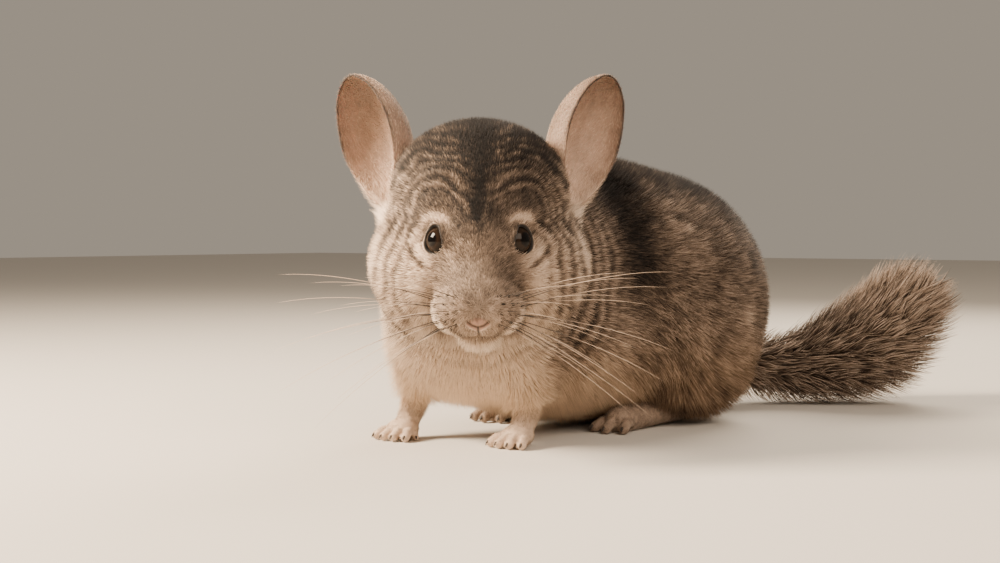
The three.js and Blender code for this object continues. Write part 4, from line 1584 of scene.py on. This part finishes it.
@dataclass
class Ear:
    """A tall thin egg of skin, opened by a slanting cut, with down on both faces."""

    side: Side
    stance: Stance
    length: float = 63.5
    radius: float = 17.5
    root_radius: float = 4
    crown: float = 0.56
    root: Triple = (29.5, 7, 4)
    lean: float = math.radians(24)
    nod: float = math.radians(-6)
    opening: float = math.radians(46)
    slant: float = math.radians(-7.5)
    cut: float = -4.1
    thickness: float = 0.6
    rings: int = 44
    turns: int = 72
    down_density: float = 2.0
    seed: int = 30

    def place(self) -> Matrix:
        """From the ear's own frame to the scene, for the left ear or its mirror image."""
        turn = (
            Matrix.Rotation(self.lean, 4, "Y")
            @ Matrix.Rotation(self.nod, 4, "X")
            @ Matrix.Rotation(self.opening, 4, "Z")
        )
        local = Matrix.Translation(self.root) @ turn
        flip = Matrix.Scale(-1, 4, (1, 0, 0)) if self.side is Side.RIGHT else Matrix.Identity(4)
        return self.stance.skull() @ flip @ local

    def outline(self, share: float) -> float:
        """The ear's radius for a share of its length."""
        widen = min(max((share + 0.2) / 0.8, 0), 1)
        flare = self.root_radius + (self.radius - self.root_radius) * widen**2 * (3 - 2 * widen)
        round_off = min(max((share - self.crown) / (1 - self.crown), 0), 1)
        return flare * math.sqrt(1 - round_off**2)

    def mesh(self) -> bpy.types.Mesh:
        """Builds the ear's sheet.

        Returns:
            The mesh, in metres.
        """
        shape = bmesh.new()
        shares = np.sin(np.linspace(0, math.pi / 2, self.rings))
        profile = [
            shape.verts.new((self.outline(float(share)), 0, float(share) * self.length)) for share in shares
        ]
        edges = [shape.edges.new(pair) for pair in zip(profile, profile[1:])]
        bmesh.ops.spin(
            shape,
            geom=profile + edges,
            cent=(0, 0, 0),
            axis=(0, 0, 1),
            dvec=(0, 0, 0),
            angle=2 * math.pi,
            steps=self.turns,
            use_merge=True,
        )
        bmesh.ops.remove_doubles(shape, verts=shape.verts, dist=0.02)
        bmesh.ops.scale(shape, verts=shape.verts, vec=(1, 0.85, 1))
        cut = Vector((0, -math.cos(self.slant), -math.sin(self.slant)))
        bmesh.ops.bisect_plane(
            shape,
            geom=shape.verts[:] + shape.edges[:] + shape.faces[:],
            plane_co=(0, self.cut, self.length / 2),
            plane_no=cut,
            clear_outer=True,
        )
        bmesh.ops.recalc_face_normals(shape, faces=shape.faces)
        for vert in shape.verts:
            fold = noise(np.array([[vert.co.x, vert.co.y, vert.co.z * 0.3]]), 5, 91)[0]
            vert.co += vert.normal * float(fold) * 0.35
        middle = Vector((0, 6, self.length / 2))
        outward = sum((face.calc_center_median() - middle).dot(face.normal) for face in shape.faces)
        if outward < 0:
            bmesh.ops.reverse_faces(shape, faces=shape.faces)
        bmesh.ops.solidify(shape, geom=shape.faces[:], thickness=self.thickness)
        bmesh.ops.transform(shape, matrix=self.place(), verts=shape.verts)
        bmesh.ops.recalc_face_normals(shape, faces=shape.faces)
        return freed(shape, f"ear_skin_{self.side.word}")

    def local(self, points: np.ndarray) -> np.ndarray:
        """Points of the body's frame in the ear's own."""
        back = np.array(self.place().inverted())
        scene = self.stance.to_scene(points)
        return scene @ back[:3, :3].T + back[:3, 3]

    def inside(self, local: np.ndarray, normals: np.ndarray) -> np.ndarray:
        """How far each point is on the hollow face, from 0 to 1."""
        out = local * np.array([1, 1 / 0.72, 0])
        return eased(-np.sum(unit(out) * normals, axis=1), -0.2, 0.2)

    def tones(self, points: np.ndarray, normals: np.ndarray) -> tuple[np.ndarray, np.ndarray]:
        """The tone and warmth of the ear's skin and down."""
        local = self.local(points)
        turned = unit(normals @ np.array(self.place().inverted())[:3, :3].T)
        hollow = self.inside(local, turned)
        share = local[:, 2] / self.length
        outer = 0.54 - 0.05 * eased(share, 0.3, 0.9)
        inner = 0.64 - 0.13 * eased(share, 0.35, 1.0) + 0.2 * (1 - eased(share, 0.05, 0.42))
        grain = noise(local * np.array([1, 1, 0.2]), 0.9, 93)
        tone = mixed(outer, inner, hollow) + 0.05 * noise(local, 5, 92) + 0.05 * grain
        opening = self.cut - math.tan(self.slant) * (local[:, 2] - self.length / 2)
        tone -= 0.3 * hump(local[:, 1], opening, 0.7) * eased(share, 0.3, 0.6)
        return np.clip(tone, 0, 1), np.full(len(points), 0.15)

    def pieces(self, skin: bpy.types.Material, hair: bpy.types.Material) -> list[bpy.types.Object]:
        """The ear and its down.

        Args:
            skin: The ear's skin.
            hair: The down's finish.

        Returns:
            The ear's sheet and its down.
        """
        mesh = self.mesh()
        tone, warmth = self.tones(self.stance.read(mesh), vertex_rows(mesh, "normal"))
        write_value(mesh, "tone", tone)
        write_value(mesh, "warmth", warmth)
        ear = shown(f"ear_skin_{self.side.word}", mesh, skin)
        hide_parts(f"ear_{self.side.word}")
        draw = np.random.default_rng(self.seed + self.side.value)
        density = self.down_density
        roots, normals = scattered(mesh, self.stance, lambda p: np.full(len(p), density), draw)
        local = self.local(roots)
        count = len(roots)
        place = np.array(self.place())[:3, :3]
        way = np.stack([local[:, 0] * 0.05, local[:, 1] * 0.02, np.ones(count)], axis=1) @ place.T
        way = unit(way) + 0.125 * draw.normal(0, 1, (count, 3))
        way = unit(way - np.sum(way * normals, axis=1, keepdims=True) * normals)
        low = 1 - eased(local[:, 2] / self.length, 0.1, 0.45)
        length = (mixed(1.6, 4.6, low) * draw.uniform(0.7, 1.2, count))[:, None]
        rise = (mixed(0.3, 0.55, low) * draw.uniform(0.7, 1.3, count))[:, None]
        tip = roots + (way * np.cos(rise) + normals * np.sin(rise)) * length
        tone, warmth = self.tones(roots, normals)
        tone = tone + draw.normal(0.06, 0.09, count) + 0.16 * low
        tones = np.clip(np.stack([tone - 0.02, tone + 0.16], axis=1), 0, 1)
        widths = draw.uniform(0.16, 0.26, (count, 1))
        turn = np.arctan2(local[:, 0], local[:, 1])
        patches = np.stack([(turn / math.pi + 1) / 2, np.clip(local[:, 2] / self.length, 0, 1)], axis=1)
        spine = np.stack([roots - normals * 0.1, tip], axis=1)
        down = Strands(spine, unit(np.cross(way, normals)), normals, widths, tones, warmth, patches)
        fur = down.piece(f"ear_down_{self.side.word}", self.stance, hair)
        return [ear, fur]


@dataclass
class Eyeball:
    """A wet eye between its lids."""

    eye: Eye
    stance: Stance
    iris_reach: float = 1.1

    def piece(self, material: bpy.types.Material) -> bpy.types.Object:
        """Builds the eyeball.

        Args:
            material: The eye's finish.

        Returns:
            The piece.
        """
        shape = bmesh.new()
        bmesh.ops.create_uvsphere(shape, u_segments=56, v_segments=36, radius=self.eye.radius - 0.05)
        turn = Vector(self.eye.axis).to_track_quat("Z", "Y").to_matrix().to_4x4()
        local = Matrix.Translation(Vector(self.eye.centre)) @ turn
        reach = np.array([math.acos(max(-1, min(1, v.co.z / v.co.length))) for v in shape.verts])
        bmesh.ops.transform(shape, matrix=self.stance.skull() @ local, verts=shape.verts)
        name = f"eyeball_{self.eye.side.word}"
        mesh = freed(shape, name)
        write_value(mesh, "iris", reach / self.iris_reach)
        made = shown(name, mesh, material)
        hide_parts(f"eye_{self.eye.side.word}")
        return made


@dataclass
class Claws:
    """The small dark claws of all the toes, in shares of the toe's girth."""

    stance: Stance
    curve: tuple[tuple[float, float], ...] = ((0.2, 0.25), (0.7, 0.28), (1.05, 0.05), (1.3, -0.5))
    widths: Triple = (0.62, 0.6, 0.42)
    tones: tuple[float, ...] = (0.3, 0.22, 0.16, 0.12)
    lowest: float = 0.5

    def piece(self, material: bpy.types.Material) -> bpy.types.Object:
        """Builds the claws as one piece.

        Args:
            material: The horn's finish.

        Returns:
            The piece.
        """
        toes = [toe for side in Side for leg in (Foreleg(side), Hindfoot(side)) for toe in leg.toes()]
        rise = np.array([0, 0, 1.0])
        spine, across = [], []
        for toe in toes:
            tip, out, g = toe.tip, toe.out, toe.girth
            spine.append([tip + out * g * far + rise * g * high for far, high in self.curve])
            across.append(np.cross(out, rise))
        spine = np.array(spine)
        spine[:, 3, 2] = np.maximum(spine[:, 3, 2], self.lowest)
        count = len(toes)
        girth = np.array([toe.girth for toe in toes])[:, None]
        horn = Strands(
            spine,
            np.array(across),
            np.tile(rise, (count, 1)),
            girth * np.array(self.widths),
            np.tile(self.tones, (count, 1)),
            np.full(count, 0.3),
            in_a_row(count),
            sides=8,
            flatness=0.9,
        )
        made = horn.piece("claws", self.stance, material)
        return made


@dataclass
class Whiskers:
    """Long whiskers from both pads, dark at the root and pale beyond."""

    stance: Stance
    rows: int = 5
    columns: int = 4
    rings: int = 9
    seed: int = 4

    def roots(self) -> list[tuple[Side, int, int, np.ndarray]]:
        """Every whisker's side, row, column and root, in the skull's frame."""
        found = []
        for side in Side:
            for row in range(self.rows):
                for column in range(self.columns):
                    x = 7.4 + column * 2.3 + (row % 2) * 0.9
                    y = -49.5 + column * 2.2
                    z = -26.5 - row * 2.3 - column * 0.5
                    found.append((side, row, column, np.array([side.value * x, y, z])))
        return found

    def piece(self, material: bpy.types.Material) -> bpy.types.Object:
        """Grows the whiskers.

        Args:
            material: The hair's finish.

        Returns:
            The piece.
        """
        draw = np.random.default_rng(self.seed)
        shares = np.linspace(0, 1, self.rings + 1)
        spines = []
        for side, row, column, root in self.roots():
            chance = draw.normal(0, 0.5)
            length = 40 + column * 11 - row * 2 + chance * 6
            rise = 0.34 - row * 0.2 + draw.normal(0, 0.07)
            out = unit(np.array([side.value * 0.93, -0.3 + column * 0.07, rise]))
            middle = root + out * length * 0.5
            droop = np.array([side.value * 0.4, 0.2, rise * 0.4 - 0.16]) * length
            tip = middle + droop
            s = shares[:, None]
            spines.append(HEAD.out_of(root * (1 - s) ** 2 + 2 * middle * s * (1 - s) + tip * s**2))
        spine = np.array(spines)
        count = len(spine)
        along = spine[:, 1] - spine[:, 0]
        over = unit(np.cross(along, [0, 0, 1]))
        widths = np.linspace(0.3, 0.1, self.rings)[None] * draw.uniform(0.85, 1.15, (count, 1))
        hair = Strands(
            spine,
            unit(np.cross(along, over)),
            over,
            widths,
            np.tile(mixed(0.1, 0.75, eased(shares, 0.12, 0.5)), (count, 1)),
            np.full(count, 0.2),
            in_a_row(count),
            sides=4,
            flatness=1,
        )
        made = hair.piece("whiskers", self.stance, material)
        return made


# The studio


@dataclass(frozen=True)
class Lamp:
    """A soft square light that faces the animal."""

    name: str
    place: Triple
    size: float
    power: float
    colour: Triple

    def put(self, aim: Vector) -> None:
        """Adds the light, turned towards a point."""
        data = bpy.data.lights.new(self.name, "AREA")
        data.energy = self.power
        data.size = self.size
        data.color = self.colour
        lamp = bpy.data.objects.new(self.name, data)
        lamp.location = self.place
        lamp.rotation_euler = (aim - Vector(self.place)).to_track_quat("-Z", "Y").to_euler()
        bpy.context.scene.collection.objects.link(lamp)


@dataclass
class Studio:
    """A pale floor, soft light and the camera."""

    stance: Stance
    eye_height: float = 90.2
    stand: tuple[float, float] = (421, -529)
    heading: tuple[float, float] = (-0.602, 0.799)
    focal_pixels: float = 1590
    width: float = 1000
    horizon: float = 230
    middle: float = 281.5
    film: float = 36
    aim: Triple = (0, 0, 0.06)
    sky: Triple = (0.98, 0.84, 0.68)
    sky_strength: float = 0.36
    lamps: tuple[Lamp, ...] = (
        Lamp("key", (-0.62, -0.72, 0.62), 0.4, 54, (1.0, 0.81, 0.60)),
        Lamp("fill", (0.8, -0.5, 0.7), 0.8, 11, (1.0, 0.84, 0.68)),
        Lamp("rim", (-0.1, 0.8, 0.7), 0.6, 12, (1.0, 0.85, 0.68)),
    )

    def build(self) -> None:
        """Builds the floor, the lights and the camera."""
        shape = bmesh.new()
        bmesh.ops.create_grid(shape, x_segments=2, y_segments=2, size=4)
        mesh = freed(shape, "floor")
        floor = bpy.data.objects.new("floor", mesh)
        mesh.materials.append(FloorFinish().material())
        bpy.context.scene.collection.objects.link(floor)
        for lamp in self.lamps:
            lamp.put(Vector(self.aim))
        world = bpy.data.worlds.new("studio")
        bpy.context.scene.world = world
        world.use_nodes = True
        sky = world.node_tree.nodes["Background"]
        sky.inputs["Color"].default_value = (*self.sky, 1)
        sky.inputs["Strength"].default_value = self.sky_strength
        self._camera()

    def _camera(self) -> None:
        """Puts the camera where the photograph was taken from."""
        data = bpy.data.cameras.new("camera")
        data.sensor_width = self.film
        data.lens = self.focal_pixels / self.width * data.sensor_width
        camera = bpy.data.objects.new("camera", data)
        bpy.context.scene.collection.objects.link(camera)
        spot = np.array([[*self.stand, self.eye_height]])
        camera.location = self.stance.to_scene(spot)[0]
        pitch = math.atan((self.middle - self.horizon) / self.focal_pixels)
        level = math.cos(pitch)
        ahead = Vector((self.heading[0] * level, self.heading[1] * level, -math.sin(pitch)))
        camera.rotation_euler = ahead.to_track_quat("-Z", "Y").to_euler()
        bpy.context.scene.camera = camera


# The whole animal


@dataclass
class Chinchilla:
    """Builds the animal's pieces in order."""

    form: BodyForm
    stance: Stance
    eyes: tuple[Eye, ...]
    flesh: tuple[str, ...] = (
        "torso",
        "neck",
        "head",
        "muzzle",
        "nose",
        "lower_jaw",
        "tail_root",
        "tail_middle",
        "tail_tip",
    )
    legs: tuple[str, ...] = ("foreleg", "forepaw", "haunch", "hindfoot")

    @classmethod
    def from_frame(cls) -> Chinchilla:
        """The animal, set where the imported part's eyes are."""
        form = BodyForm()
        centre = {}
        for side in Side:
            low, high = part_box(f"eye_{side.word}")
            centre[side] = np.array((low + high) / 2) / MM
        axis = Eye(Side.LEFT, np.zeros(3)).axis
        expected = form.on_head((0.5, -1, -0.13)) - axis * 4.4
        shift = centre[Side.LEFT] - HEAD.out_of(expected[None])[0]
        stance = Stance(np.array([shift[0], shift[1], 0]))
        eyes = tuple(Eye(side, HEAD.into((centre[side] - stance.shift)[None])[0]) for side in Side)
        LOG.info("the animal's frame lies at %s mm", np.round(shift, 2))
        return cls(form, stance, eyes)

    def build(self) -> None:
        """Builds and dresses every piece."""
        whiskers = Whiskers(self.stance)
        follicles = HEAD.out_of(np.array([root for *_, root in whiskers.roots()]))
        follicles = HEAD.into(self.form.drawn_to_skin(follicles, 6))
        markings = Markings(self.form, self.eyes, follicles)
        hair = PelageFinish("coat_hair", 900, 0.1, bump=0, specular=0.2).material()
        skin = self._skin(markings)
        slots = {Region.LEGS: "paw_skin", Region.FACE_LEFT: "face_fur", Region.FACE_RIGHT: "face_fur"}
        coat = Coat(self.form, markings, self.stance, self.eyes)
        for piece, region in zip(coat.pieces(skin.data, hair), Region):
            slots.get(region, "back_fur")
        brush = TailBrush(self.form.tail, self.stance).piece(hair)
        ear_skin = PelageFinish(
            "ear_skin", 700, 0.12, bump=0.25, subsurface=0.1, tint=(0.94, 0.86, 0.84)
        ).material()
        down = PelageFinish("ear_down", 900, 0.1, bump=0, tint=(1.0, 0.95, 0.92)).material()
        for side in Side:
            Ear(side, self.stance).pieces(ear_skin, down)
        wet = EyeFinish().material()
        for eye in self.eyes:
            Eyeball(eye, self.stance).piece(wet)
        horn = PelageFinish("claw_horn", 600, 0.1, bump=0.1, specular=0.5).material()
        Claws(self.stance).piece(horn)
        bristle = PelageFinish("whisker_hair", 500, 0.05, bump=0, specular=0.5).material()
        whiskers.piece(bristle)

    def _skin(self, markings: Markings) -> bpy.types.Object:
        """The skin with the same markings as the coat."""
        mesh = Skin(self.form, self.eyes, self.stance).mesh()
        points = self.stance.read(mesh)
        tone, warmth = markings.tones(points)
        h = HEAD.into(points)
        for eye in self.eyes:
            tone = mixed(tone, 0.03, 1 - eased(eye.rim(h), 1.04, 1.14))
        slit = self.form.slits(h)
        # Painted shade: the skin darkens in the grooves of the nostrils, the cleft of the lip and the mouth.
        tone = mixed(tone, 0.14, slit)
        write_value(mesh, "tone", tone)
        write_value(mesh, "warmth", warmth)
        write_value(mesh, "blush", 0.8 * self.form.pad(h) * (1 - slit))
        finish = PelageFinish("skin", 1400, 0.18, bump=0.4, sheen=0.1)
        skin = shown("skin", mesh, finish.material())
        legs = [f"{part}_{side.word}" for part in self.legs for side in Side]
        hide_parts(*self.flesh, *legs)
        return skin


def main() -> None:
    """Builds the scene."""
    logging.basicConfig(level=logging.INFO, format="%(name)s: %(message)s")
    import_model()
    chinchilla = Chinchilla.from_frame()
    chinchilla.build()
    Studio(chinchilla.stance).build()


if __name__ == "__main__":
    main()
